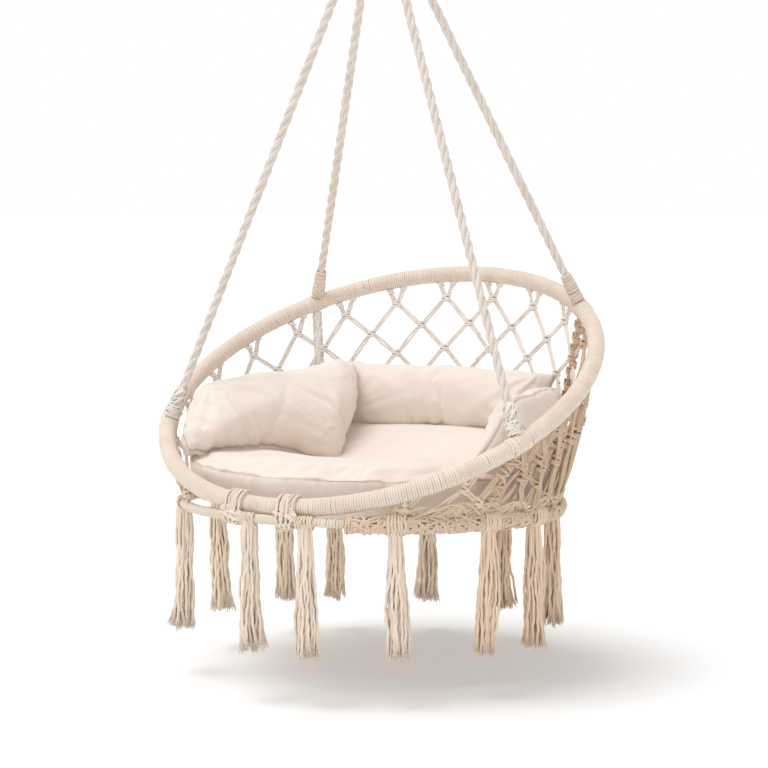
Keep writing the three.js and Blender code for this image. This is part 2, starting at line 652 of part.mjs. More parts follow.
for (const [name, firstHalf, lastHalf] of netPanels) {
  const knots = new Map();
  for (let half = firstHalf; half <= lastHalf; half++) {
    const angle = half * halfColumn;
    const frame = wallFrame(angle);
    if (frame.height < netLeast) continue;
    const room = frame.height - seatWrapRadius - strandWidth;
    for (let row = (half + 1) % 2; row < netRows && rowDrop(row) < room; row += 2) {
      knots.set(knotKey(row, half), { ...frame, centre: wallPoint(angle, rowDrop(row)), row, half, angle });
    }
  }
  const endOf = (knot, rowStep, halfStep) => {
    if (rowStep < 0 && knot.row === 0) return wallPoint(knot.angle + halfStep * netLegSpread, 0);
    const nextHalf = knot.half + halfStep;
    const next = wallFrame(nextHalf * halfColumn);
    if (next.height < netLeast && rowStep < 0) return null;
    const far = next.top.addScaledVector(next.down, rowDrop(knot.row + rowStep));
    const leaves = nextHalf < firstHalf || nextHalf > lastHalf;
    const shared = leaves && !stayBetween(knot.half, nextHalf);
    const room = (next.height - rowDrop(knot.row)) / netRowPitch;
    return knot.centre.clone().lerp(far, Math.min(shared ? 0.5 - gap / netRowPitch : 1, room));
  };
  let solid = solidOf(netGeometry(knots, endOf)).subtract(hoopCutter).subtract(seatCutter).subtract(bandCutter);
  for (const cutter of stayCutters) solid = solid.subtract(cutter);
  piece(chair, `net_${name}`, geometryOf(largestOf(solid)), COTTON);
}

// Net under the seat cushion, tied to the seat ring and drawn in to a knotted disc
function seatNetZ(radius) {
  return -seatNetSag * (1 - (radius / seatRadius) ** 2);
}
function spiderPoint(share, angle) {
  const radius = share * seatRadius;
  return new THREE.Vector3(radius * Math.sin(angle), -radius * Math.cos(angle), seatNetZ(radius));
}
const spiderHalf = Math.PI / seatNetColumns;
const spider = new Map();
seatNetShares.forEach((share, row) => {
  for (let half = row % 2; half < 2 * seatNetColumns; half += 2) {
    const angle = half * spiderHalf;
    const across = new THREE.Vector3(Math.cos(angle), Math.sin(angle), 0);
    const down = new THREE.Vector3(-Math.sin(angle), Math.cos(angle), 0);
    spider.set(knotKey(row, half), { row, half, angle, across, down,
      out: new THREE.Vector3().crossVectors(down, across), centre: spiderPoint(share, angle) });
  }
});
// The last half-column meets the first again
for (const knot of [...spider.values()]) {
  if (knot.half === 0) spider.set(knotKey(knot.row, 2 * seatNetColumns), knot);
  if (knot.half === 2 * seatNetColumns - 1) spider.set(knotKey(knot.row, -1), knot);
}
const hubShare = (seatHubRadius - strandWidth / 2) / seatRadius;
const seatNetEnd = 1 - (seatWrapRadius + gap + strandWidth / 2 * Math.SQRT1_2) / seatRadius;
const spiderEnd = (knot, rowStep, halfStep) => (rowStep < 0
  ? spiderPoint(seatNetEnd, knot.angle + halfStep * netLegSpread)
  : spiderPoint(hubShare, knot.angle + halfStep * spiderHalf / 2));

const spiderNet = solidOf(netGeometry(spider, spiderEnd));
const hub = new THREE.CylinderGeometry(seatHubRadius, seatHubRadius, strandThick + hubExtra, 12)
  .rotateX(Math.PI / 2).translate(0, 0, seatNetZ(seatHubRadius));
piece(seat, 'seat_net', geometryOf(largestOf(spiderNet.add(solidOf(hub)))), COTTON);

piece(seat, 'knotted_band', geometryOf(bandSolid(bandInner, bandOuter, 0)), COTTON);

// Tassels: limp bundles of cut yarn under the band or the bare seat ring, hanging plumb to one height
const tasselSides = 8;
const tasselEnd = -bandBottom - gap - tasselNeck / 2 * Math.sin(hangLean) - tasselLength;
tasselAngles.forEach((angle, n) => {
  const turned = (angle + TURN) % TURN;
  const underside = turned > bandStart && turned < bandEnd ? bandBottom : seatWrapRadius;
  const top = -underside - gap - tasselNeck / 2 * Math.sin(hangLean);
  const length = top - tasselEnd;
  const profile = [
    [0, 0], [tasselNeck / 2, 0], [tasselNeck / 2, -tasselNeckLength],
    [tasselWidth / 2, -length * tasselFullShare], [tasselWidth / 2, -length * tasselFrayShare],
    [tasselFoot / 2, -length], [0, -length],
  ].map(([r, z]) => new THREE.Vector2(r, z));
  const tassel = new THREE.LatheGeometry(profile, tasselSides).rotateX(Math.PI / 2);
  const mesh = piece(seat, `tassel_${String(n + 1).padStart(2, '0')}`, closed(tassel), COTTON);
  mesh.position.set(seatRadius * Math.sin(angle), -seatRadius * Math.cos(angle), top);
  mesh.rotation.x = hangLean;
});

// Seat cushion: boxed sides, its top dished where one sits and pushed up at the back
function cushionPoint(share, angle) {
  return new THREE.Vector3(share * cushionHalfWidth * Math.sin(angle),
    -cushionForward - share * cushionHalfDepth * Math.cos(angle), 0);
}
function cushionSeam(point) {
  return cushionSeamZ + cushionBackRise
    * THREE.MathUtils.smoothstep(point.y / cushionHalfDepth, ...cushionRiseShares);
}
function cushionTop(point, share) {
  const away = Math.hypot(point.x - cushionDipX, point.y - cushionDipY) / (cushionHalfWidth / 2);
  return cushionSeam(point) + cushionCrown * (1 - share ** 4)
    - cushionDip * Math.exp(-away * away) * (1 - share ** 2);
}
function cushionBase(share) {
  return seatNetZ(share * cushionHalfWidth) - seatDrop + strandThick / 2 + hubExtra + 2 * gap;
}
function seatCushionGeometry() {
  const rows = [];
  const ring = (share, heightAt) => rows.push(Array.from({ length: cushionSides }, (_, k) => {
    const point = cushionPoint(share, k * TURN / cushionSides);
    return point.setZ(heightAt(point));
  }));
  const base = cushionBase(cushionTaper);
  const edge = base + cushionHalfWidth * (1 - cushionTaper) / 2;
  for (const share of cushionBaseShares) ring(share * cushionTaper, () => cushionBase(share * cushionTaper));
  ring((1 + cushionTaper) / 2, () => edge);
  ring(1, (point) => (cushionSeam(point) + edge) / 2);
  ring(1, cushionSeam);
  for (const share of cushionTopShares) ring(share, (point) => cushionTop(point, share));
  const vertices = rows.flat().flatMap((v) => v.toArray());
  const faces = [];
  for (let r = 0; r + 1 < rows.length; r++) {
    for (let k = 0; k < cushionSides; k++) {
      const [a, b] = [r * cushionSides + k, r * cushionSides + (k + 1) % cushionSides];
      faces.push(a, b, b + cushionSides, a, b + cushionSides, a + cushionSides);
    }
  }
  const centre = cushionPoint(0, 0);
  const low = vertices.length / 3;
  vertices.push(centre.x, centre.y, cushionBase(0), centre.x, centre.y, cushionTop(centre, 0));
  const last = (rows.length - 1) * cushionSides;
  for (let k = 0; k < cushionSides; k++) {
    const next = (k + 1) % cushionSides;
    faces.push(low, next, k, low + 1, last + k, last + next);
  }
  const g = new THREE.BufferGeometry();
  g.setAttribute('position', new THREE.Float32BufferAttribute(vertices, 3));
  g.setIndex(faces);
  return closed(g);
}
const seatCushion = solidOf(seatCushionGeometry());
piece(chair, 'seat_cushion', geometryOf(seatCushion), CANVAS);

// Pillows: two bulged sheets sewn at a drawn-in edge
const seatSpan = new THREE.Vector3(cushionHalfWidth, cushionHalfDepth, seatDrop);
function pillowGeometry({ cornerShares, bow, front, rear }) {
  const [topLeft, topRight, lowRight, lowLeft] = cornerShares
    .map((shares) => new THREE.Vector3(...shares).multiply(seatSpan));
  const face = new THREE.Vector3()
    .crossVectors(lowLeft.clone().sub(topLeft), topRight.clone().sub(topLeft)).normalize();
  const n = pillowSteps;
  const shareOf = (i) => Math.sin((i / n - 0.5) * Math.PI); // closer rows near the edges
  const vertices = [];
  for (const side of [1, -1]) {
    const depth = side > 0 ? front : rear;
    for (let j = 0; j <= n; j++) {
      for (let i = 0; i <= n; i++) {
        const [u, v] = [shareOf(i), shareOf(j)];
        const pulledU = u * (1 - pillowPull * (1 - v * v));
        const pulledV = v * (1 - pillowPull * (1 - u * u));
        const upper = topLeft.clone().lerp(topRight, (1 + pulledU) / 2);
        const lower = lowLeft.clone().lerp(lowRight, (1 + pulledU) / 2);
        const bulge = Math.sqrt((1 - u ** 4) * (1 - v ** 4));
        const lift = side * (pillowSeam + (depth - pillowSeam) * bulge) - bow * (1 - u * u);
        vertices.push(...upper.lerp(lower, (1 + pulledV) / 2).addScaledVector(face, lift).toArray());
      }
    }
  }
  const faces = [];
  const at = (layer, i, j) => layer * (n + 1) ** 2 + j * (n + 1) + i;
  const quad = (a, b, c, d) => faces.push(a, b, c, a, c, d);
  for (let j = 0; j < n; j++) {
    for (let i = 0; i < n; i++) {
      quad(at(0, i, j), at(0, i, j + 1), at(0, i + 1, j + 1), at(0, i + 1, j));
      quad(at(1, i, j), at(1, i + 1, j), at(1, i + 1, j + 1), at(1, i, j + 1));
    }
  }
  for (let i = 0; i < n; i++) {
    quad(at(0, i, 0), at(0, i + 1, 0), at(1, i + 1, 0), at(1, i, 0));
    quad(at(0, i + 1, n), at(0, i, n), at(1, i, n), at(1, i + 1, n));
    quad(at(0, 0, i + 1), at(0, 0, i), at(1, 0, i), at(1, 0, i + 1));
    quad(at(0, n, i), at(0, n, i + 1), at(1, n, i + 1), at(1, n, i));
  }
  const g = new THREE.BufferGeometry();
  g.setAttribute('position', new THREE.Float32BufferAttribute(vertices, 3));
  g.setIndex(faces);
  return closed(g);
}
// Pillows press on each other along upright planes, and on the seat cushion
function seamPlane(shares) {
  const [from, to] = shares.map((share) => new THREE.Vector2(...share).multiply(seatSpan));
  const along = to.clone().sub(from);
  const normal = new THREE.Vector2(along.y, -along.x).normalize();
  return { normal, offset: normal.dot(from) };
}
function trimmed(solid, { normal, offset }, side) {
  return solid.trimByPlane([side * normal.x, side * normal.y, 0], side * offset + gap / 2);
}
const leftSeam = seamPlane(leftSeamShares);
const rightSeam = seamPlane(rightSeamShares);
const pressed = {
  back: (solid) => trimmed(trimmed(solid, leftSeam, 1), rightSeam, -1),
  left: (solid) => trimmed(solid, leftSeam, -1),
  right: (solid) => trimmed(solid, rightSeam, 1),
};
const shifts = [[gap, 0, 0], [-gap, 0, 0], [0, gap, 0], [0, -gap, 0], [0, 0, gap]];
for (const [name, shape] of Object.entries(pillows)) {
  let solid = pressed[name](solidOf(pillowGeometry(shape)));
  for (const shift of shifts) solid = solid.subtract(seatCushion.translate(shift));
  piece(chair, `${name}_pillow`, geometryOf(largestOf(solid)), CANVAS);
}

export default part;
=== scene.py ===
"""A knotted hammock chair in laid rope, cord and stuffed canvas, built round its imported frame."""

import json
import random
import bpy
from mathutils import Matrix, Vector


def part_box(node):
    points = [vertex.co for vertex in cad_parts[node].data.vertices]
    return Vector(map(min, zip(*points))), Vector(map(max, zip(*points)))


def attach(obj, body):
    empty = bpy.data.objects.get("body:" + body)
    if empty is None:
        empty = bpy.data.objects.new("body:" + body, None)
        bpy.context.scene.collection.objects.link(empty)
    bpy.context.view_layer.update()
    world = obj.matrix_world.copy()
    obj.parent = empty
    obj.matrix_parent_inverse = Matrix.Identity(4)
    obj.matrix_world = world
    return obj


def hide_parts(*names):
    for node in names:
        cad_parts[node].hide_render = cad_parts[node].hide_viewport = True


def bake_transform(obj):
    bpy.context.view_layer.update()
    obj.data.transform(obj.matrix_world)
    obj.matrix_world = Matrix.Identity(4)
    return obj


bl_info = {
    "name": "Hammock Chair",
    "version": (1, 0, 0),
    "blender": (4, 5, 0),
    "location": "View3D > Sidebar > Hammock Chair",
    "description": "Dresses a packed hammock chair in rope, knotted cord, canvas and steel",
    "category": "Add Mesh",
}

from math import asin, atan2, copysign, cos, degrees, exp, hypot, pi, radians, sin, sqrt

import bmesh
import bpy
from bpy.props import FloatProperty, FloatVectorProperty, IntProperty, PointerProperty
from bpy.types import Operator, Panel, PropertyGroup
from mathutils import Matrix, Vector, noise

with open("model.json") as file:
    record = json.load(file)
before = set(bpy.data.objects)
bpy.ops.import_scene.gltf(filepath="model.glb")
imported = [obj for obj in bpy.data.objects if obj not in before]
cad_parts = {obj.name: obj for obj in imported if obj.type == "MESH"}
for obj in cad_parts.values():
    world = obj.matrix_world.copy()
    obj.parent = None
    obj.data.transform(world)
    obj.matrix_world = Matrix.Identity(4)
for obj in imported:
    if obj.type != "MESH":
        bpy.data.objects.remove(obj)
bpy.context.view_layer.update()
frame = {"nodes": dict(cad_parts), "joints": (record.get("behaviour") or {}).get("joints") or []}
joints = {joint["name"]: joint for joint in frame["joints"]}

TURN = 2 * pi
X, Y, Z = Vector((1, 0, 0)), Vector((0, 1, 0)), Vector((0, 0, 1))


# ---------------------------------------------------------------- sizes of the frame, in metres

HOOK_WIRE = 0.010
HOOK_WIDTH = 0.036  # between the wire's centres
HOOK_LENGTH = 0.084
GATE_WIRE = 0.0035
GATE_LENGTH = 0.042
GATE_LEAN = radians(9)
GATE_PEG_REACH = 0.0025
RING_RADIUS = 0.038
RING_WIRE = 0.008

ROPE_SPACING = 0.0083  # from the neck's middle to each rope's centre, along X and along Y
NECK_LENGTH = 0.062
NECK_BINDING = 0.054
APEX_RISE = 0.025  # the ropes' straight lines meet this far above the neck's end
APEX = Vector((0, -0.0256, 0.8526))  # the same point, from the hoop's centre
LEAN = radians(2.7)

HOOP_RADIUS = 0.385
HOOP_TILT = radians(29.3)
HOOP_WRAP = 0.015
SEAT_RADIUS = 0.324
SEAT_FORWARD = 0.026
SEAT_DROP = 0.208
SEAT_WRAP = 0.0085
BAND_OUTER = 0.017
BAND_BOTTOM = 0.0157
BAND_FROM, BAND_TO = radians(71), radians(-113)  # round the seat ring's section
BAND_START, BAND_END = radians(24), radians(276)  # round the back

FRONT_ROPE, BACK_ROPE = radians(64.5), radians(133.8)  # round the hoop, from its front
LASHINGS = {
    "front_left": -FRONT_ROPE, "front_right": FRONT_ROPE,
    "back_right": BACK_ROPE, "back_left": -BACK_ROPE,
}
LASHING_HALF = 0.019
LASHING_OUTER = 0.0168
COLLAR_LENGTH = 0.052
COLLAR_FOOT, COLLAR_TOP = 0.013, 0.0108
TIE_ANGLES = radians(-10), radians(5)
TIE_HALF = 0.015

NECK_CORD = 0.0052
SEAT_CORD, SEAT_PITCH = 0.0054, 0.005
LASHING_CORD = 0.005
COLLAR_CORD = 0.0036
TIE_CORD = 0.0044
STAY_CORE, STAY_LAY = 0.0125, 0.09
STAY_PITCH = 0.0105  # from one loop round a stay to the next

NET_COLUMNS = 24
NET_FIRST_ROW = 0.044
NET_ROW_PITCH = 0.047
NET_LEG_SPREAD = radians(3.2)
NET_LEAST = 0.062
NET_PANELS = {
    "front_right": (5, 8), "right_front": (9, 13), "right_back": (14, 17), "back_right": (18, 23),
    "back_left": (24, 30), "left_back": (31, 34), "left_front": (35, 39), "front_left": (40, 43),
}
CROWDED = ("right_front", "right_back")  # panels with bundles laid over the net
SEAT_NET_COLUMNS = 10
SEAT_NET_SHARES = (0.82, 0.58, 0.36)
SEAT_NET_SAG = 0.014
SEAT_HUB = 0.034

TASSEL_ANGLES = (-90, -53, -6.5, 12, 38, 67, 88, 129, 162, 192, 223, 241)
TASSEL_LENGTH = 0.212
TASSEL_NECK, TASSEL_FOOT = 0.026, 0.044

# The ropes' routes on the right, from the neck down to the hoop
FRONT_ROUTE = (
    (0.0083, -0.0083, -0.2506), (0.0085, -0.0084, -0.258), (0.0103, -0.0088, -0.267),
    (0.0145, -0.0098, -0.279), (0.0202, -0.0116, -0.292), (0.0277, -0.0142, -0.309),
    (0.0392, -0.0189, -0.336), (0.0623, -0.0292, -0.3914), (0.0866, -0.0406, -0.4561),
    (0.1143, -0.0535, -0.530), (0.1455, -0.0681, -0.6132), (0.1766, -0.0827, -0.6964),
    (0.2078, -0.0974, -0.7795), (0.239, -0.112, -0.8627), (0.2701, -0.1266, -0.9458),
    (0.3013, -0.1412, -1.029), (0.3395, -0.1591, -1.1309),
)
BACK_ROUTE = (
    (0.0083, 0.0083, -0.2506), (0.0085, 0.0085, -0.258), (0.0102, 0.0098, -0.267),
    (0.0144, 0.013, -0.279), (0.020, 0.0172, -0.292), (0.0277, 0.023, -0.309),
    (0.0402, 0.0324, -0.333), (0.0613, 0.0494, -0.387), (0.0852, 0.0686, -0.4499),
    (0.1124, 0.0905, -0.5219), (0.1431, 0.1152, -0.6028), (0.1737, 0.1399, -0.6838),
    (0.2044, 0.1645, -0.7647), (0.2351, 0.1892, -0.8456), (0.270, 0.2174, -0.938),
)

NECK_END = Vector(joints["rope_twist"]["pos_m"])
GATE_HINGE = Vector(joints["gate_hinge"]["pos_m"])
SWING = Vector(joints["chair_swing"]["pos_m"])
NECK_TOP = NECK_END + Z * NECK_LENGTH
LEANING = Matrix.Rotation(-LEAN, 4, "X")
CHAIR = Matrix.Translation(NECK_END + Z * APEX_RISE - LEANING @ APEX) @ LEANING
CHAIR_TURN = CHAIR.to_3x3()
SEAT_PLANE = CHAIR @ Matrix.Translation((0, -SEAT_FORWARD, -SEAT_DROP))
HOOP = (CHAIR @ Matrix.Rotation(HOOP_TILT, 4, "X"), HOOP_RADIUS)  # a ring is its plane and its radius
SEAT = (SEAT_PLANE, SEAT_RADIUS)


# ---------------------------------------------------------------- sizes of the covers

CUSHION_HALF_WIDTH, CUSHION_HALF_DEPTH = 0.316, 0.299
CUSHION_FORWARD = 0.011  # of its middle, from the hoop's centre
CUSHION_SEAM = -0.135  # its height at the front, from the hoop's centre
CUSHION_RISE = 0.042  # of the seam, from the front to the back
SEAT_SPAN = Vector((CUSHION_HALF_WIDTH, CUSHION_HALF_DEPTH, SEAT_DROP))
PILLOW_CORNERS = {  # shares of the seat span, in the chair's frame, from each pillow's top left
    "back": (
        (-0.671, 0.789, 0.106), (0.722, 0.686, 0.029), (0.759, 0.518, -0.442), (-0.585, 0.652, -0.490)),
    "left": (
        (-0.905, -0.421, -0.173), (-0.608, 0.742, 0.106), (-0.316, 0.084, -0.654), (-0.759, -0.763, -0.606)),
    "right": (
        (0.816, 0.622, 0.010), (0.918, -0.375, -0.288), (0.791, -0.585, -0.587), (0.649, 0.351, -0.505)),
}
PILLOW_FLAT = {"right": 0.58}  # how much of its inner side's height is taken off
PILLOW_PULLS = {  # places in the chair's frame, how they are moved and how far round
    "left": (
        ((-0.286, -0.126, -0.036), (-0.004, -0.002, 0.015), 0.07),
        ((-0.250, -0.02, -0.018), (-0.001, 0, 0.026), 0.08),
        ((-0.213, 0.13, 0.008), (0, 0, 0.013), 0.08),
        ((-0.263, -0.185, -0.086), (-0.027, -0.015, 0.002), 0.065),
        ((-0.15, 0.12, -0.06), (0.026, 0, 0), 0.08),
        ((-0.10, 0.025, -0.136), (0.001, 0, -0.013), 0.08),
        ((-0.240, -0.228, -0.126), (0.002, 0.006, 0.001), 0.06)),
    "back": (
        ((0.10, 0.215, 0.012), (0, 0, 0.007), 0.12),
        ((-0.21, 0.22, -0.04), (-0.010, 0, 0), 0.07),
        ((0.235, 0.200, -0.002), (0.012, 0.004, 0.008), 0.05)),
    "right": (
        ((0.20, 0.06, -0.10), (0.012, 0, 0), 0.08),
        ((0.215, -0.11, -0.10), (0.036, 0.006, 0), 0.075),
        ((0.270, -0.045, -0.035), (0.004, 0, 0.026), 0.065),
        ((0.262, 0.08, -0.010), (0, 0, 0.010), 0.07)),
}
PILLOW_CREASES = {  # from and to as shares across and down, depth and half width
    "left": (
        (0.52, 0.10, 0.90, 0.52, 0.0045, 0.008), (0.72, 0.36, 0.97, 0.66, 0.0050, 0.006),
        (0.80, 0.62, 0.98, 0.74, 0.0040, 0.005), (0.08, 0.12, 0.30, 0.22, 0.0030, 0.008),
        (0.84, 0.92, 0.96, 0.72, 0.0035, 0.006)),
    "back": (
        (0.41, 0.20, 0.44, 0.98, 0.0050, 0.006), (0.46, 0.35, 0.46, 0.98, 0.0040, 0.005),
        (0.37, 0.55, 0.40, 0.98, 0.0035, 0.005), (0.55, 0.30, 0.52, 0.95, 0.0030, 0.007),
        (0.12, 0.30, 0.16, 0.85, 0.0020, 0.010)),
    "right": ((0.30, 0.15, 0.60, 0.75, 0.0045, 0.008), (0.15, 0.30, 0.32, 0.80, 0.0035, 0.007)),
}


# ---------------------------------------------------------------- camera and stage

CAMERA_PLACE = (1.9587, -3.3106, -0.7041)
CAMERA_YAW, CAMERA_PITCH, CAMERA_ROLL = radians(-30.6), radians(-5.624), radians(-0.755)
CAMERA_LENS = 103.2
WORLD_LIGHT = 0.70
FLOOR_HEIGHT = -1.575
LAMPS = (  # name, heading, spread and power
    ("key", (0.29, 0.15, -1.0), radians(42), 1.78),
    ("fill", (-0.35, 0.90, -0.18), radians(70), 0.38),
)


# ---------------------------------------------------------------- sizes and colours to change

def metres(name, description, default, low, high):
    return FloatProperty(
        name=name, description=description, default=default, min=low, max=high, unit="LENGTH")


def tint(name, description, *default):
    return FloatVectorProperty(
        name=name, description=description, default=default, min=0, max=1, subtype="COLOR")


class HammockSizes(PropertyGroup):
    rope_diameter: metres("Rope", "Diameter of the suspension ropes", 0.016, 0.01, 0.024)
    rope_lay: metres("Rope lay", "Length of rope in which a strand goes round once", 0.073, 0.03, 0.15)
    wrap_pitch: metres("Wrap pitch", "From one turn of the hoop's wrapping to the next", 0.0042, 0.003, 0.01)
    net_cord: metres("Net cord", "Diameter of one of the two cords in a net strand", 0.0046, 0.002, 0.006)
    band_cord: metres("Band cord", "Diameter of the cords in the knotted band", 0.0046, 0.002, 0.006)
    tassel_yarns: IntProperty(
        name="Tassel yarns", description="Number of yarns in each tassel", default=30, min=8, max=40)
    tassel_yarn: metres("Tassel yarn", "Diameter of a tassel's yarns", 0.0047, 0.002, 0.008)
    cover_cell: metres("Cover cell", "Size of a cover's cells before it is smoothed", 0.006, 0.004, 0.012)


class HammockColours(PropertyGroup):
    rope: tint("Rope", "Undyed cotton of the ropes", 0.80, 0.73, 0.668)
    wrap: tint("Wrapping", "Cotton of the wrappings, lashings and ties", 0.82, 0.718, 0.628)
    knotted: tint(
        "Knotted cord", "Cotton of the front and seat nets and the tassels' heads", 0.80, 0.665, 0.535)
    # A paler copy of the knotted cord, painted light: it serves the back and left nets, the left stays and
    # the front collars
    net: tint(
        "Net cord", "Cotton of the back and left nets, left stays and front collars", 0.89, 0.835, 0.785)
    band: tint("Band cord", "Cotton of the knotted band", 0.74, 0.585, 0.45)
    # A darker copy of the cord, painted shade for the crowded right wall and the right stays
    wall: tint("Wall cord", "Cotton of the crowded wall and of the right stays", 0.66, 0.50, 0.365)
    # One yarn in three tints by where the tassel hangs: the right-hand ones darker, painted shade; the back
    # and far left ones paler, painted light
    front_yarn: tint("Front yarn", "Loose cotton of the tassels at the front", 0.885, 0.77, 0.655)
    side_yarn: tint("Side yarn", "Loose cotton of the tassels on the right", 0.875, 0.70, 0.54)
    back_yarn: tint("Back yarn", "Loose cotton of the tassels at the back and far left", 0.98, 0.84, 0.69)
    canvas: tint("Canvas", "Cloth of the cushion covers", 0.82, 0.725, 0.655)
    steel: tint("Steel", "Zinc-plated steel", 0.62, 0.63, 0.64)
    floor: tint("Floor", "Floor of the stage", 0.94, 0.94, 0.94)


# ---------------------------------------------------------------- material writing

class Link:
    """A node's output, or a sum of outputs, that can be reckoned with like a number."""

    def __init__(self, finish, socket):
        self.finish, self.socket = finish, socket

    def math(self, operation, *values):
        sockets = dict(enumerate((self, *values)))
        return self.finish.node("ShaderNodeMath", {"operation": operation}, sockets)

    def __add__(self, other):
        return self.math("ADD", other)

    def __sub__(self, other):
        return self.math("SUBTRACT", other)

    def __mul__(self, other):
        return self.math("MULTIPLY", other)

    def __truediv__(self, other):
        return self.math("DIVIDE", other)

    def __pow__(self, other):
        return self.math("POWER", other)

    def __rsub__(self, other):
        return self.finish.node("ShaderNodeMath", {"operation": "SUBTRACT"}, {0: other, 1: self})

    __radd__ = __add__
    __rmul__ = __mul__

    def wave(self):
        return self.math("SINE") * 0.5 + 0.5

    def between(self, low, high):
        """0 below low, 1 above high and smooth between."""
        return self.finish.node(
            "ShaderNodeMapRange", {"interpolation_type": "SMOOTHSTEP"},
            {"Value": self, "From Min": low, "From Max": high})


class Finish:
    """The nodes of a material or a world as they are written."""

    def __init__(self, owner):
        owner.use_nodes = True
        self.owner, self.tree = owner, owner.node_tree
        self.tree.nodes.clear()

    def node(self, kind, settings=None, sockets=None, output=0):
        """Adds a node. output says which of its outputs is handed back, and is None for none."""
        node = self.tree.nodes.new(kind)
        for key, value in (settings or {}).items():
            setattr(node, key, value)
        for key, value in (sockets or {}).items():
            if isinstance(value, Link):
                self.tree.links.new(value.socket, node.inputs[key])
            else:
                node.inputs[key].default_value = value
        return None if output is None else Link(self, node.outputs[output])

    def led_out(self, kind, shader):
        """The finished material or world, with the shader led to an output node of that kind."""
        self.node(kind, None, {"Surface": shader}, None)
        return self.owner

    def place(self):
        return self.node("ShaderNodeTexCoord", output="Object")

    def noise(self, place, scale, detail=3, roughness=0.5):
        return self.node("ShaderNodeTexNoise", None, {
            "Vector": place, "Scale": scale, "Detail": detail, "Roughness": roughness}, "Fac")

    def stretched(self, place, scale):
        return self.node("ShaderNodeMapping", None, {"Vector": place, "Scale": scale})

    def mixed(self, share, first, second):
        """Colours from first at 0 to second at 1."""
        return self.node("ShaderNodeMix", {"data_type": "RGBA"}, {0: share, 6: first, 7: second}, 2)

    def parts(self, vector):
        split = self.node("ShaderNodeSeparateXYZ", None, {0: vector}).socket.node
        return [Link(self, socket) for socket in split.outputs]

    def bump(self, height, distance, strength):
        return self.node("ShaderNodeBump", None, {
            "Height": height, "Distance": distance, "Strength": strength}, "Normal")

    def surface(self, colour, roughness, more):
        sockets = {"Base Color": colour, "Roughness": roughness, **more}
        shader = self.node("ShaderNodeBsdfPrincipled", None, sockets, "BSDF")
        return self.led_out("ShaderNodeOutputMaterial", shader)


DULL = {"Specular IOR Level": 0.15, "Sheen Weight": 0.25, "Sheen Roughness": 0.6}
THREAD = 0.0011  # from one thread of the canvas to the next


def opaque(colour, factors=(1, 1, 1)):
    return (*(channel * factor for channel, factor in zip(colour, factors)), 1.0)


def cotton(finish, colour, yarn, yarns, depth, tone_and_shade):
    """Twisted cotton: yarns that run round a cord, its fuzz, a little uneven colour, and painted shade in the
    grooves between the yarns.
    """
    place = finish.place()
    along, around, _ = finish.parts(finish.node("ShaderNodeUVMap", {"uv_map": "run"}))
    twist = ((along / yarn + around * yarns) * TURN).wave()
    fuzz = finish.noise(place, 900.0, detail=4, roughness=0.65)
    patches = finish.noise(place, 28.0)
    fine = finish.noise(place, 260.0, detail=2)
    # patches and fine noise give uneven tone; the twist's share darkens the grooves between yarns as painted
    # shade
    shade = patches.between(0.32, 0.72) * 0.55 + fine.between(0.3, 0.7) * 0.25 + (1 - twist) * 0.2
    # the darker colour serves both the uneven tone and the painted groove shade
    dark = opaque(colour, (1 - tone_and_shade, 1 - 1.35 * tone_and_shade, 1 - 1.9 * tone_and_shade))
    bump = finish.bump(twist ** 0.6 * 0.75 + fuzz * 0.15, depth, strength=0.9)
    return finish.surface(
        finish.mixed(shade, opaque(colour), dark), fuzz * 0.12 + 0.84, {**DULL, "Normal": bump})


def canvas(finish, colour):
    """Plain-woven cotton over filling: threads, slubs, and a darker line at the seams, partly the seam itself
    and partly painted shade in its groove and in the gaps between covers.
    """
    place = finish.place()
    x, y, z = finish.parts(place)
    warp = ((x + y * 0.35) * (TURN / THREAD)).wave()
    weft = ((z + y * 0.65) * (TURN / THREAD)).wave()
    weave = warp * (1 - weft) + weft * (1 - warp)
    slub = finish.noise(finish.stretched(place, (1.0, 0.5, 9.0)), 60.0)
    cloud = finish.noise(place, 7.0, detail=2)
    fuzz = finish.noise(place, 700.0, roughness=0.6)
    shade = cloud.between(0.35, 0.7) * 0.5 + slub.between(0.45, 0.75) * 0.3 + (1 - weave) * 0.2
    # the dark line at the seams: partly the seam, partly painted shade in its groove and in the gaps between
    # covers
    seam_and_shade = finish.node("ShaderNodeAttribute", {"attribute_name": "seam"}, None, "Fac").between(0.5, 0.95)
    base = finish.mixed(shade, opaque(colour), opaque(colour, (0.955, 0.935, 0.91)))
    base = finish.mixed(seam_and_shade * 0.75, base, opaque(colour, (0.60, 0.50, 0.42)))
    bump = finish.bump(weave * 0.6 + slub * 0.5 + fuzz * 0.25, distance=0.00035, strength=0.55)
    return finish.surface(base, fuzz * 0.1 + 0.82, {**DULL, "Normal": bump})


def plated_steel(finish, colour):
    """Zinc-plated wire: faint drawing lines, a mottled plate and small scuffs."""
    place = finish.place()
    lines = finish.noise(finish.stretched(place, (1.0, 1.0, 0.08)), 2600.0, detail=2)
    mottle = finish.noise(place, 240.0)
    scuffs = finish.noise(place, 90.0, detail=5, roughness=0.7).between(0.58, 0.66)
    base = finish.mixed(mottle * 0.6 + scuffs * 0.4, opaque(colour), opaque(colour, (0.78, 0.78, 0.78)))
    rough = lines * 0.10 + mottle * 0.14 + scuffs * 0.12 + 0.22
    bump = finish.bump(lines * 0.4 + scuffs, distance=0.00008, strength=0.5)
    return finish.surface(base, rough, {"Metallic": 1.0, "Normal": bump})


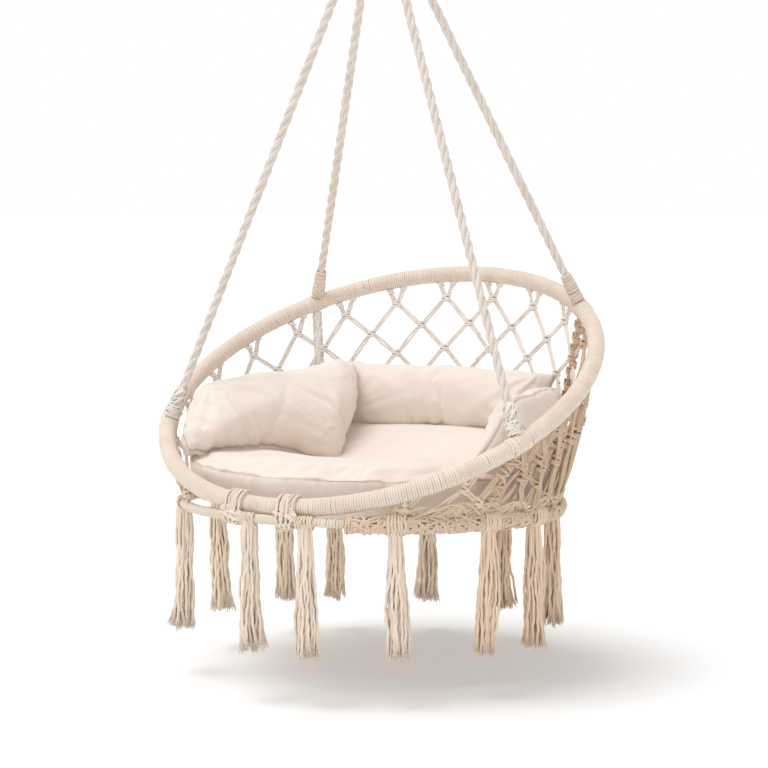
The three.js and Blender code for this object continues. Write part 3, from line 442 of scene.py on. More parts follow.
FINISHES = {  # what writes it, its colour, and for cotton a yarn's turn, the yarns, their depth and how far the colour darkens, for uneven tone and for painted shade in the grooves
    "laid_rope": (cotton, "rope", 0.0085, 4, 0.0009, 0.13),
    "wound_cord": (cotton, "wrap", 0.006, 2, 0.0006, 0.10),
    "knotted_cord": (cotton, "knotted", 0.0062, 2, 0.0006, 0.10),
    # the next finish is the paler net cotton, painted light
    "net_cord": (cotton, "net", 0.0062, 2, 0.0006, 0.10),
    "band_cord": (cotton, "band", 0.0062, 2, 0.0007, 0.12),
    # the next finish is the darker wall cotton, painted shade
    "wall_cord": (cotton, "wall", 0.0062, 2, 0.0007, 0.12),
    "front_yarn": (cotton, "front_yarn", 0.007, 2, 0.0006, 0.08),
    "side_yarn": (cotton, "side_yarn", 0.007, 2, 0.0006, 0.08),
    "back_yarn": (cotton, "back_yarn", 0.007, 2, 0.0006, 0.08),
    "cover_canvas": (canvas, "canvas"),
    "plated_steel": (plated_steel, "steel"),
}
finished = {}


def finish_of(name):
    """The material of that name, written when it is first asked for."""
    if name not in finished:
        write, colour, *rest = FINISHES[name]
        colour = tuple(getattr(bpy.context.scene.hammock_colours, colour))
        finished[name] = write(Finish(bpy.data.materials.new(name)), colour, *rest)
    return finished[name]


def dress(mesh, finish):
    mesh.materials.clear()
    mesh.materials.append(finish_of(finish))


# ---------------------------------------------------------------- routes

def wander(seed, at):
    """A smooth chance value, mostly from -1 to 1."""
    return noise.noise(Vector((at, seed * 7.31, seed * 1.7))) * 2


def bell(value, width):
    return exp(-(value / width) ** 2)


def smoothstep(value, low, high):
    t = max(0.0, min(1.0, (value - low) / (high - low)))
    return t * t * (3 - 2 * t)


def square_to(direction, vector):
    """The vector's part square to the direction, one long."""
    return (vector - direction * vector.dot(direction)).normalized()


def trace(count, place):
    """An open line: its place at each share of the way."""
    return [place(i / count) for i in range(count + 1)]


def oval(count, place):
    """A closed line: its place at each angle."""
    return [place(TURN * i / count) for i in range(count)]


def smooth_route(points, step):
    """A curve through the points, as points about a step apart."""
    points = [Vector(p) for p in points]
    spans = [max((b - a).length, 1e-6) for a, b in zip(points, points[1:])]
    slopes = []
    for i in range(len(points)):
        a, b = max(i - 1, 0), min(i + 1, len(points) - 1)
        slopes.append((points[b] - points[a]) / sum(spans[a:b]))
    out = []
    for i, span in enumerate(spans):
        count = max(1, round(span / step))
        for k in range(count):
            t = k / count
            out.append(
                points[i] * (2 * t ** 3 - 3 * t ** 2 + 1) + points[i + 1] * (3 * t ** 2 - 2 * t ** 3)
                + slopes[i] * (span * (t ** 3 - 2 * t ** 2 + t)) + slopes[i + 1] * (span * (t ** 3 - t ** 2)))
    return [*out, points[-1]]


def carried(points, closed=False):
    """Two directions square to a route at each of its points, carried along without twist."""
    n = len(points)
    across = None
    out = []
    for i in range(n):
        ahead = points[(i + 1) % n] if closed else points[min(i + 1, n - 1)]
        behind = points[i - 1] if closed else points[max(i - 1, 0)]
        tangent = (ahead - behind).normalized()
        across = square_to(tangent, across or tangent.orthogonal())
        out.append((across, tangent.cross(across)))
    return out


def ring_point(ring, angle, reach=0.0, section=0.0):
    """A point off a ring's centre line: section turns from outside over the top."""
    plane, radius = ring
    out = radius + reach * cos(section)
    return plane @ Vector((out * sin(angle), -out * cos(angle), reach * sin(section)))


def wall(half):
    """The net's wall at a half-column: its top and height, and its directions down, across and out."""
    angle, step = half * pi / NET_COLUMNS, pi / NET_COLUMNS
    top = ring_point(HOOP, angle)
    fall = ring_point(SEAT, angle) - top
    down = fall / fall.length
    across = square_to(down, ring_point(HOOP, angle + step) - ring_point(HOOP, angle - step))
    return {"top": top, "height": fall.length, "down": down, "across": across, "out": down.cross(across)}


# ---------------------------------------------------------------- cords

class Cords:
    """Gathers cords as closed round tubes. Their map "run" holds metres along and turns around."""

    def __init__(self, seed):
        self.points, self.faces, self.runs = [], [], []
        self.chance = random.Random(seed)

    def lay(self, route, radius, sides=6, closed=False):
        """radius is a number, or one for each point of the route."""
        n = len(route)
        radii = radius if isinstance(radius, (list, tuple)) else [radius] * n
        first = len(self.points)
        turns = oval(sides, lambda a: (cos(a), sin(a)))
        for point, r, (across, third) in zip(route, radii, carried(route, closed)):
            self.points.extend(point + across * (r * c) + third * (r * s) for c, s in turns)
        along = [self.chance.random()]
        for i in range(n):
            along.append(along[-1] + (route[(i + 1) % n] - route[i]).length)
        shift = self.chance.random()
        for i in range(n if closed else n - 1):
            a = first + i * sides
            b = first + (i + 1) % n * sides
            for k in range(sides):
                j = (k + 1) % sides
                self.faces.append((a + k, a + j, b + j, b + k))
                low, high = shift + k / sides, shift + (k + 1) / sides
                self.runs.extend((along[i], low, along[i], high, along[i + 1], high, along[i + 1], low))
        if not closed:
            last = first + (n - 1) * sides
            self.faces.append(tuple(range(first + sides - 1, first - 1, -1)))
            self.faces.append(tuple(range(last, last + sides)))
            self.runs.extend([along[0], shift] * sides + [along[n - 1], shift] * sides)

    def twisted(self, route, diameter, lay, strands, sides, turn, swell=1.0):
        """A laid rope: its strands wind round each other as they follow the route."""
        strand = diameter / 2 / (1 + 1 / sin(pi / strands)) * 2 / sqrt(3) * swell
        reach = diameter / 2 - strand
        spread = carried(route)
        for s in range(strands):
            run, line = 0.0, []
            for i, (point, (across, third)) in enumerate(zip(route, spread)):
                if i:
                    run += (point - route[i - 1]).length
                angle = TURN * s / strands + turn + TURN * run / lay
                line.append(point + across * (reach * cos(angle)) + third * (reach * sin(angle)))
            self.lay(line, strand, sides)

    def wound(self, ring, start, end, outer, cord, pitch, steps, sides, seed, unruly):
        """One cord wound round a stretch of a ring."""
        radius = ring[1]
        turns = (end - start) * radius / pitch

        def place(share):
            turn = turns * share
            angle = start + (end - start) * share + unruly * wander(seed, turn * 0.9) / radius
            reach = outer - cord / 2 + unruly * 0.6 * wander(seed + 5, turn * 0.45)
            return ring_point(ring, angle, reach, TURN * turn)

        self.lay(trace(int(turns * steps), place), cord / 2, sides)

    def strand(self, start, end, out, cord, seed):
        """Two cords side by side from one knot to the next, a little slack."""
        span = end - start
        side = span.normalized().cross(out).normalized()
        for s in (-1, 1):
            def place(t):
                belly = sin(pi * t)
                gap = cord * (0.43 + 0.07 * belly + 0.10 * wander(seed + s, t * 3))
                loose = 0.0012 * belly * wander(seed * 1.3 + s, t * 2 + 5) + s * 0.0004 * sin(9 * t + seed)
                return start + span * t + side * (s * gap) + out * loose

            self.lay(trace(max(4, round(span.length / 0.006)), place), cord / 2)

    def loop(self, centre, across, out, down, wide, deep, drop, radius, count, sides=6):
        """A closed oval loop. drop says how far down it runs at each angle."""
        self.lay(
            oval(count, lambda a: (
                centre + across * (wide * cos(a)) + out * (deep * sin(a)) + down * drop(a))),
            radius, sides, closed=True)

    def knot(self, centre, down, across, out, cord, size, loops, seed):
        """Loops drawn tight round the crossing cords."""
        wide, deep = 0.0074 * size, 0.0056 * size
        for k in range(loops):
            offset = (k - (loops - 1) / 2) * cord * 0.98 * size
            slant = (-1) ** k * (0.22 + 0.08 * wander(seed, k * 1.7))
            self.loop(
                centre, across, out, down, wide, deep, lambda a: offset + slant * wide * cos(a),
                radius=cord * 0.52, count=10)

    def piece(self, name, finish, body, *replaced):
        mesh = bpy.data.meshes.new(name)
        mesh.from_pydata(self.points, [], self.faces)
        mesh.uv_layers.new(name="run").data.foreach_set("uv", self.runs)
        mesh.shade_smooth()
        return settled(mesh, finish, "cotton_cord", body, *replaced)


def settled(mesh, finish, slot, body, *replaced):
    """The mesh as a finished piece that rides on its body and stands for its nodes."""
    obj = bpy.data.objects.new(mesh.name, mesh)
    bpy.context.scene.collection.objects.link(obj)
    dress(mesh, finish)
    if body:
        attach(obj, body)
    if replaced:
        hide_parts(*replaced)
    return obj


# ---------------------------------------------------------------- operators

class HammockOperator:
    bl_options = {"REGISTER", "UNDO"}

    @property
    def sizes(self):
        return bpy.context.scene.hammock_sizes


class HAMMOCK_OT_camera(HammockOperator, Operator):
    """Place the camera in front of the chair, 31 degrees round towards +X and above its hoop's centre"""
    bl_idname = "hammock.camera"
    bl_label = "Camera"

    def execute(self, context):
        data = bpy.data.cameras.new("camera")
        data.lens = CAMERA_LENS
        data.sensor_width = 36.0
        data.clip_end = 60.0
        camera = bpy.data.objects.new("camera", data)
        camera.matrix_world = (
            Matrix.Translation(CAMERA_PLACE) @ Matrix.Rotation(-CAMERA_YAW, 4, "Z")
            @ Matrix.Rotation(pi / 2 + CAMERA_PITCH, 4, "X") @ Matrix.Rotation(CAMERA_ROLL, 4, "Z"))
        context.scene.collection.objects.link(camera)
        context.scene.camera = camera
        return {"FINISHED"}


class HAMMOCK_OT_ropes(HammockOperator, Operator):
    """Lay the four suspension ropes from the neck to the hoop"""
    bl_idname = "hammock.ropes"
    bl_label = "Suspension ropes"

    def execute(self, context):
        diameter = self.sizes.rope_diameter
        for end, points in (("front", FRONT_ROUTE), ("back", BACK_ROUTE)):
            for side_name, side in (("left", -1), ("right", 1)):
                path = smooth_route([(side * x, y, z) for x, y, z in points], 0.004)
                cords = Cords(len(path) + side)
                cords.twisted(
                    path, diameter, self.sizes.rope_lay, strands=3, sides=10,
                    turn=0.4 * side + len(end), swell=0.93)
                node = f"rope_{end}_{side_name}"
                rope = cords.piece(f"{node}_laid", "laid_rope", None, node)
                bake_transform(rope)
                length = sum((b - a).length for a, b in zip(path, path[1:]))
                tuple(path[0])
        return {"FINISHED"}


class HAMMOCK_OT_neck(HammockOperator, Operator):
    """Double two ropes over the ring and whip their four strands together below it"""
    bl_idname = "hammock.neck"
    bl_label = "Rope loops and neck"

    def execute(self, context):
        diameter = self.sizes.rope_diameter
        gap, splay = 0.0009, 0.0004
        bend = RING_WIRE / 2 + diameter / 2 + gap
        lean = asin((ROPE_SPACING + splay) / (RING_RADIUS - bend))
        side_x = RING_RADIUS * sin(lean)
        away = Vector((sin(lean), 0, -cos(lean)))

        def over_wire(a):
            return Vector((side_x, -bend * cos(a), SWING.z)) - away * (bend * sin(a))

        half = [
            Vector((ROPE_SPACING, -ROPE_SPACING, NECK_END.z)),
            Vector((ROPE_SPACING, -ROPE_SPACING, NECK_END.z + NECK_LENGTH / 2)),
            Vector((ROPE_SPACING + splay, -ROPE_SPACING, NECK_TOP.z)),
            Vector((side_x - gap, -bend + gap, (NECK_TOP.z + SWING.z) / 2)),
            over_wire(0), over_wire(pi / 6), over_wire(pi / 3),
        ]
        back = [Vector((p.x, -p.y, p.z)) for p in reversed(half)]
        for name, side in (("left", -1), ("right", 1)):
            points = [Vector((side * p.x, p.y, p.z)) for p in (*half, over_wire(pi / 2), *back)]
            cords = Cords(11 + side)
            cords.twisted(
                smooth_route(points, 0.0035), diameter, self.sizes.rope_lay, strands=3, sides=10,
                turn=side, swell=1.04)
            cords.piece(f"rope_loop_{name}_laid", "laid_rope", "head", f"rope_loop_{name}")

        cord, steps = NECK_CORD, 26
        reach = hypot(ROPE_SPACING, ROPE_SPACING) + diameter / 2 + 0.0006 + cord / 2
        low = NECK_END.z + (NECK_LENGTH - NECK_BINDING) / 2
        route = []
        for i in range(int(NECK_BINDING / cord * steps) + 1):
            a = TURN * i / steps
            route.append(Vector((reach * cos(a), reach * sin(a), low + cord * i / steps)))
        tucked = route[-1] * 0.86
        tucked.z = route[-1].z + 0.002
        whip = Cords(3)
        whip.lay([*route, tucked], cord * 0.52, 8)
        whip.piece("neck_whipping_cord", "wound_cord", "head", "neck_whipping")
        return {"FINISHED"}


class HAMMOCK_OT_hoop(HammockOperator, Operator):
    """Wind the hoop and the seat ring with cord"""
    bl_idname = "hammock.hoop"
    bl_label = "Wrapped hoop and seat ring"

    def execute(self, context):
        pitch = self.sizes.wrap_pitch
        bare = LASHING_HALF / HOOP_RADIUS
        arcs = {
            "front": (-FRONT_ROPE, FRONT_ROPE), "right": (FRONT_ROPE, BACK_ROPE),
            "back": (BACK_ROPE, TURN - BACK_ROPE), "left": (-BACK_ROPE, -FRONT_ROPE),
        }
        for seed, (name, (start, end)) in enumerate(arcs.items()):
            cords = Cords(seed)
            cords.wound(
                HOOP, start + bare, end - bare, HOOP_WRAP + 0.0003, pitch * 1.06, pitch,
                steps=16, sides=8, seed=seed, unruly=0.00025)
            cords.piece(f"hoop_wrap_{name}_cord", "wound_cord", "chair", f"hoop_wrap_{name}")
        cords = Cords(9)
        cords.wound(
            SEAT, -pi, pi, SEAT_WRAP + 0.0002, SEAT_CORD, SEAT_PITCH, steps=10, sides=5, seed=8,
            unruly=0.0005)
        cords.piece("seat_ring_wrap_cord", "wound_cord", "chair", "seat_ring_wrap")
        return {"FINISHED"}


class HAMMOCK_OT_lashings(HammockOperator, Operator):
    """Lash each rope's foot to the hoop, whip the back ropes' ends and open the front ropes' ends"""
    bl_idname = "hammock.lashings"
    bl_label = "Lashings and collars"

    def execute(self, context):
        cord = LASHING_CORD
        half = LASHING_HALF / HOOP_RADIUS
        for seed, (name, angle) in enumerate(LASHINGS.items()):
            cords = Cords(seed + 20)
            cords.wound(
                HOOP, angle - half, angle + half, LASHING_OUTER, cord * 1.15, cord,
                steps=20, sides=8, seed=seed + 20, unruly=0.0005)
            cords.piece(f"lashing_{name}_cord", "wound_cord", "chair", f"lashing_{name}")

            foot = ring_point(HOOP, angle)
            up = (CHAIR @ APEX - foot).normalized()
            across = up.orthogonal().normalized()
            third = up.cross(across)

            def place(height, radius, turn):
                return foot + up * height + across * (radius * cos(turn)) + third * (radius * sin(turn))

            collar = Cords(seed + 30)
            if name.startswith("front"):
                self.opened_end(collar, place)
                # the front collars' yarns take the paler net cotton, painted light that lifts the shade in
                # their gaps
                collar.piece(f"rope_collar_{name}_yarns", "net_cord", "chair", f"rope_collar_{name}")
            else:
                self.whipped_end(collar, place, seed)
                collar.piece(f"rope_collar_{name}_cord", "wound_cord", "chair", f"rope_collar_{name}")
        return {"FINISHED"}

    def whipped_end(self, collar, place, seed):
        """A thin cord wound up the rope's end, which grows slimmer."""
        fine, steps = COLLAR_CORD, 20
        turns = (COLLAR_LENGTH - 0.001) / (fine * 0.94)
        route = []
        for i in range(int(turns * steps) + 1):
            turn = i / steps
            share = turn / turns
            radius = COLLAR_FOOT + (COLLAR_TOP - COLLAR_FOOT) * share ** 1.4 - fine / 2
            height = LASHING_OUTER - 0.001 + share * COLLAR_LENGTH + 0.0005 * wander(seed + 9, turn * 1.1)
            route.append(place(height, radius + 0.0003 * wander(seed + 3, turn * 0.8), TURN * turn))
        collar.lay(route, fine / 2)

    def opened_end(self, collar, place):
        """A rope's end in its lashing: strands, yarns round them, a knot at the foot and fibres."""
        low, tall = LASHING_OUTER - 0.003, COLLAR_LENGTH + 0.003
        core = trace(16, lambda share: place(low + tall * share, 0, 0))
        collar.twisted(core, 0.0205, self.sizes.rope_lay, strands=3, sides=10, turn=0.3)
        for k in range(11):
            def yarn(share):
                turn = TURN * (k / 11 + 0.75 * share) + 0.5 * wander(k, share * 4)
                radius = COLLAR_FOOT - 0.0018 * share + 0.0012 * wander(k + 20, share * 6)
                return place(low + tall * share, radius - 0.0030 * share ** 6, turn)

            collar.lay(trace(24, yarn), 0.0016)
        for k in range(9):
            height = low + 0.003 + 0.0022 * k
            tilt = 0.35 * sin(2.4 * k)

            def loop(a):
                radius = 0.0121 + 0.0008 * wander(k, 9.6 * a / TURN)
                return place(height + tilt * radius * cos(a + k), radius, a)

            collar.lay(oval(16, loop), 0.0021, closed=True)
        uniform = collar.chance.uniform
        for k in range(26):
            a = TURN * k / 26 + uniform(-0.2, 0.2)
            start = low + uniform(0.004, 0.018)
            long = uniform(0.005, 0.013)
            line = trace(5, lambda t: place(
                start + long * t * uniform(-0.5, 0.7), 0.0115 + long * 0.55 * t, a))
            collar.lay(line, [0.0011, 0.001, 0.0009, 0.0008, 0.0006, 0.0004], 4)


class HAMMOCK_OT_stays(HammockOperator, Operator):
    """Knot the four stays that run on from the hoop to the seat ring"""
    bl_idname = "hammock.stays"
    bl_label = "Stays"

    def execute(self, context):
        for seed, (name, angle) in enumerate(LASHINGS.items()):
            cords = Cords(seed + 40)
            here = wall(angle * NET_COLUMNS / pi)
            down, across, out = here["down"], here["across"], here["out"]
            start = here["top"] + down * LASHING_OUTER
            end = here["top"] + down * (here["height"] - SEAT_WRAP)
            core = smooth_route([start, (start + end) / 2, end], 0.005)
            cords.twisted(core, STAY_CORE, STAY_LAY, strands=3, sides=8, turn=seed)
            if name == "back_left":
                for side in (-1, 1):
                    line = [p + across * (side * 0.0068) + out * (0.0015 * sin(9 * i / len(core)))
                            for i, p in enumerate(core)]
                    cords.twisted(line, 0.0062, 0.03, strands=2, sides=6, turn=side)
            else:
                for k in range(int((end - start).length / STAY_PITCH)):
                    centre = start + down * (STAY_PITCH * (k + 0.5))
                    slant = 0.0042 * (-1) ** k
                    cords.loop(
                        centre, across, out, down, wide=0.0088, deep=0.0070,
                        drop=lambda a: slant * cos(a) + 0.0016 * sin(2 * a),
                        radius=0.0024, count=14, sides=7)
            # the right stays take the darker wall cotton, painted shade; the left stays the paler net cotton,
            # painted light
            finish = "wall_cord" if name.endswith("right") else "net_cord"
            cords.piece(f"stay_{name}_plait", finish, "chair", f"stay_{name}")
        return {"FINISHED"}


class HAMMOCK_OT_net(HammockOperator, Operator):
    """Knot the diamond net between the hoop and the seat ring"""
    bl_idname = "hammock.net"
    bl_label = "Diamond net"

    def execute(self, context):
        cord = self.sizes.net_cord
        stays = [a % TURN * NET_COLUMNS / pi for a in LASHINGS.values()]
        for name, (first, last) in NET_PANELS.items():
            cords = Cords(first)
            knots = {}
            for half in range(first, last + 1):
                here = wall(half)
                if here["height"] < NET_LEAST:
                    continue
                row = (half + 1) % 2
                while NET_FIRST_ROW + NET_ROW_PITCH * row < here["height"] - SEAT_WRAP - 2 * cord:
                    drop = NET_FIRST_ROW + NET_ROW_PITCH * row
                    knots[row, half] = {**here, "centre": here["top"] + here["down"] * drop, "drop": drop}
                    row += 2
            for (row, half), knot in knots.items():
                seed = row * 50 + half
                centre, down, across, out = (knot[key] for key in ("centre", "down", "across", "out"))
                cords.knot(centre, down, across, out, cord, size=1.0, loops=3, seed=seed)
                for row_step, side in ((1, 1), (1, -1), (-1, 1), (-1, -1)):
                    other = knots.get((row + row_step, half + side))
                    start = centre + across * (side * cord * 0.5)
                    if other:
                        if row_step > 0:
                            end = other["centre"] - other["across"] * (side * cord * 0.5)
                            cords.strand(start, end, out, cord, seed + side)
                        continue
                    if row_step < 0 and row == 0:
                        leg = wall(half + side * NET_LEG_SPREAD * NET_COLUMNS / pi)
                        fall = (centre - leg["top"]).normalized()
                        end = leg["top"] + fall * (HOOP_WRAP - 0.001)
                        cords.strand(start, end, out, cord, seed + side)
                        knot_at = end + fall * 0.005
                        cords.knot(knot_at, fall, across, out, cord, size=0.72, loops=2, seed=seed)
                        continue
                    near = wall(half + side)
                    if near["height"] < NET_LEAST and row_step < 0:
                        continue
                    far = near["top"] + near["down"] * (NET_FIRST_ROW + NET_ROW_PITCH * (row + row_step))
                    at_stay = any((stay - half) * (stay - half - side) < 0 for stay in stays)
                    shared = not first <= half + side <= last and not at_stay
                    room = (near["height"] - knot["drop"] - SEAT_WRAP * 0.8) / NET_ROW_PITCH
                    reach = min(0.5 if shared else 0.97, room)
                    if reach > 0.08:
                        cords.strand(start, start.lerp(far, reach), out, cord, seed + side)
            # the back and left nets take the paler net cotton, painted light; the front nets keep the knotted
            # cord
            finish = "knotted_cord" if name.startswith("front") else "net_cord"
            if name in CROWDED:
                self.crowd(cords, first, last, cord)
                # the crowded right wall takes the darker wall cotton, painted shade
                finish = "wall_cord"
            cords.piece(f"net_{name}_cords", finish, "chair", f"net_{name}")
        return {"FINISHED"}

    def crowd(self, cords, first, last, cord):
        """Bundles of cord that lie over the net, from the hoop across to the seat ring."""
        for half in range(first, last + 1):
            top = wall(half)
            down, across, out = top["down"], top["across"], top["out"]
            if top["height"] < NET_LEAST:
                continue
            for side in (-1, 1):
                foot = wall(half + side * 1.35)
                start = top["top"] + down * (HOOP_WRAP + 0.001)
                end = foot["top"] + foot["down"] * (foot["height"] - SEAT_WRAP - 0.002)
                for k in range(3):
                    def place(share):
                        belly = sin(pi * share) ** 0.5
                        aside = (k - 1) * cord * 0.92 + 0.0075 * belly * wander(half + side, share * 3.2)
                        aside += 0.0022 * belly * wander(half * 3 + k, share * 7)
                        lift = (0.0055 + side * 0.0020 + 0.0014 * sin(9 * share + k + half)) * belly
                        return start.lerp(end, share) + across * aside + out * lift

                    cords.lay(trace(20, place), cord / 2)
                middle = start.lerp(end, 0.42 + 0.1 * wander(half, side)) + out * 0.004
                cords.knot(middle, down, across, out, cord, size=1.25, loops=3, seed=half * 2 + side)


class HAMMOCK_OT_seat_net(HammockOperator, Operator):
    """Knot the net that carries the seat cushion"""
    bl_idname = "hammock.seat_net"
    bl_label = "Seat net"

    def execute(self, context):
        cord = self.sizes.net_cord
        cords = Cords(70)

        def at(share, half):
            angle = half * pi / SEAT_NET_COLUMNS
            radius = share * SEAT_RADIUS
            sag = -SEAT_NET_SAG * (1 - share ** 2)
            return SEAT_PLANE @ Vector((radius * sin(angle), -radius * cos(angle), sag))

        up = CHAIR_TURN @ Z
        rim = 1 - SEAT_WRAP / SEAT_RADIUS
        hub = SEAT_HUB / SEAT_RADIUS
        for row, share in enumerate(SEAT_NET_SHARES):
            for half in range(row % 2, 2 * SEAT_NET_COLUMNS, 2):
                centre = at(share, half)
                inward = (at(share - 0.1, half) - centre).normalized()
                cords.knot(centre, inward, inward.cross(up), -up, cord, size=0.82, loops=3, seed=half)
                for side in (-1, 1):
                    if row == 0:
                        spread = side * NET_LEG_SPREAD * SEAT_NET_COLUMNS / pi
                        cords.strand(centre, at(rim, half + spread), up, cord * 0.94, half + side)
                    last = row + 1 == len(SEAT_NET_SHARES)
                    far = at(hub, half + side / 2) if last else at(SEAT_NET_SHARES[row + 1], half + side)
                    cords.strand(centre, far, up, cord * 0.94, half * 3 + side)
        for k in range(8):
            share = hub * (k + 0.45) / 8
            count = 10 + 3 * k
            cords.lay(
                [at(share, 2 * SEAT_NET_COLUMNS * i / count) - up * (0.0006 * (-1) ** (i + k))
                 for i in range(count)], cord * 0.56, closed=True)
        cords.piece("seat_net_cords", "knotted_cord", "chair", "seat_net")
        return {"FINISHED"}


class HAMMOCK_OT_band(HammockOperator, Operator):
    """Knot the band of cords that hides the seat ring"""
    bl_idname = "hammock.band"
    bl_label = "Knotted band"

    def execute(self, context):
        cord = self.sizes.band_cord
        cords = Cords(80)
        middle, swing = (BAND_FROM + BAND_TO) / 2, (BAND_FROM - BAND_TO) / 2
        arc = BAND_END - BAND_START
        count, hitches = 260, 190
        for j in range(16):  # cords that swing from the band's top to its bottom
            loops = (9 + j % 7) * (1 if j % 2 else -1)

            def place(share):
                a = BAND_START + arc * share
                shape = sin(loops * a + j * 1.9) * 0.62 + 0.5 * wander(j, share * 15.6)
                section = middle + swing * max(-1, min(1, shape * 0.95 + 0.12 * sin(j * 2.3)))
                ends = min(1, share * 52, (1 - share) * 52)
                reach = 0.0118 + 0.0036 * ends * (0.5 + 0.5 * sin(a * (11 + j) + j))
                return ring_point(SEAT, a, reach + 0.0008 * wander(j + 30, share * 52), section)

            cords.lay(trace(count, place), cord / 2)
        uniform = cords.chance.uniform
        for k in range(hitches):  # short cords across them
            start = BAND_START + arc * (k + cords.chance.random()) / hitches
            slant = uniform(-0.035, 0.035)
            low = BAND_TO - radians(uniform(-20, 12))
            high = BAND_FROM + radians(uniform(-50, 18))
            reach = uniform(0.0140, 0.0168)

            def place(share):
                a = start + slant * sin(pi * share) + 0.004 * wander(k, share * 4.5)
                return ring_point(SEAT, a, reach if 0 < share < 1 else 0.0105, low + (high - low) * share)

            cords.lay(trace(9, place), cord / 2)
        for j in range(7):  # cords that wave up the net's foot
            loops = 16 + 3 * j
            line = []
            for i in range(count + 1):
                a = BAND_START + arc * i / count
                here = wall(a * NET_COLUMNS / pi)
                if here["height"] < NET_LEAST:
                    continue
                rise = SEAT_WRAP + 0.013 + 0.011 * sin(loops * a + 2.1 * j) + 0.004 * wander(j + 60, i * 0.11)
                lift = 0.0035 + 0.0022 * cos(loops * a * 1.5 + j) + 0.0010 * wander(j + 70, i * 0.15)
                line.append(here["top"] + here["down"] * (here["height"] - rise) + here["out"] * lift)
            cords.lay(line, cord / 2)
        cords.piece("knotted_band_cords", "band_cord", "chair", "knotted_band")
        return {"FINISHED"}


class HAMMOCK_OT_ties(HammockOperator, Operator):
    """Tie the hoop's front to the seat ring"""
    bl_idname = "hammock.ties"
    bl_label = "Front ties"

    def execute(self, context):
        cord = TIE_CORD
        half = TIE_HALF / HOOP_RADIUS
        for n, angle in enumerate(TIE_ANGLES):
            cords = Cords(90 + n)
            cords.wound(
                HOOP, angle - half, angle + half, HOOP_WRAP + cord * 0.8, cord, cord * 0.98,
                steps=20, sides=7, seed=90 + n, unruly=0.0012)
            upper = ring_point(HOOP, angle)
            flat = SEAT_PLANE.inverted() @ upper
            lower = ring_point(SEAT, atan2(flat.x, -flat.y))
            down = (lower - upper).normalized()
            degree = radians(1)
            along = square_to(down, ring_point(HOOP, angle + degree) - ring_point(HOOP, angle - degree))
            out = along.cross(down)
            for k in range(6):  # turns round hoop and seat ring
                def place(a):
                    middle, radius = upper, HOOP_WRAP + cord * 1.15
                    if cos(a) > 0.02:
                        middle, radius = lower, SEAT_WRAP + cord * 0.62
                    aside = (k - 2.5) * 0.0043 + 0.0046 * (-1) ** k * sin(a + 0.5 * n)
                    aside += 0.0012 * wander(k + 7 * n, 11.2 * a / TURN)
                    return middle + down * (radius * cos(a)) + out * (radius * sin(a)) + along * aside

                cords.lay(oval(28, place), cord / 2, 7, closed=True)
            chance = cords.chance
            for k in range(16):  # small loops of the knot
                centre = upper.lerp(lower, chance.uniform(0.5, 1.25)) + out * chance.choice((-0.0125, 0.0125))
                centre += along * chance.uniform(-0.016, 0.016)
                tilt = Matrix.Rotation(chance.uniform(-0.8, 0.8), 3, out)
                cords.loop(
                    centre, tilt @ along, tilt @ down, out, wide=0.0085, deep=0.0048,
                    drop=lambda a: 0.0022 * sin(2 * a), radius=cord / 2, count=12)
            cords.piece(f"front_tie_{n + 1}_cord", "wound_cord", "chair", f"front_tie_{n + 1}")
        return {"FINISHED"}


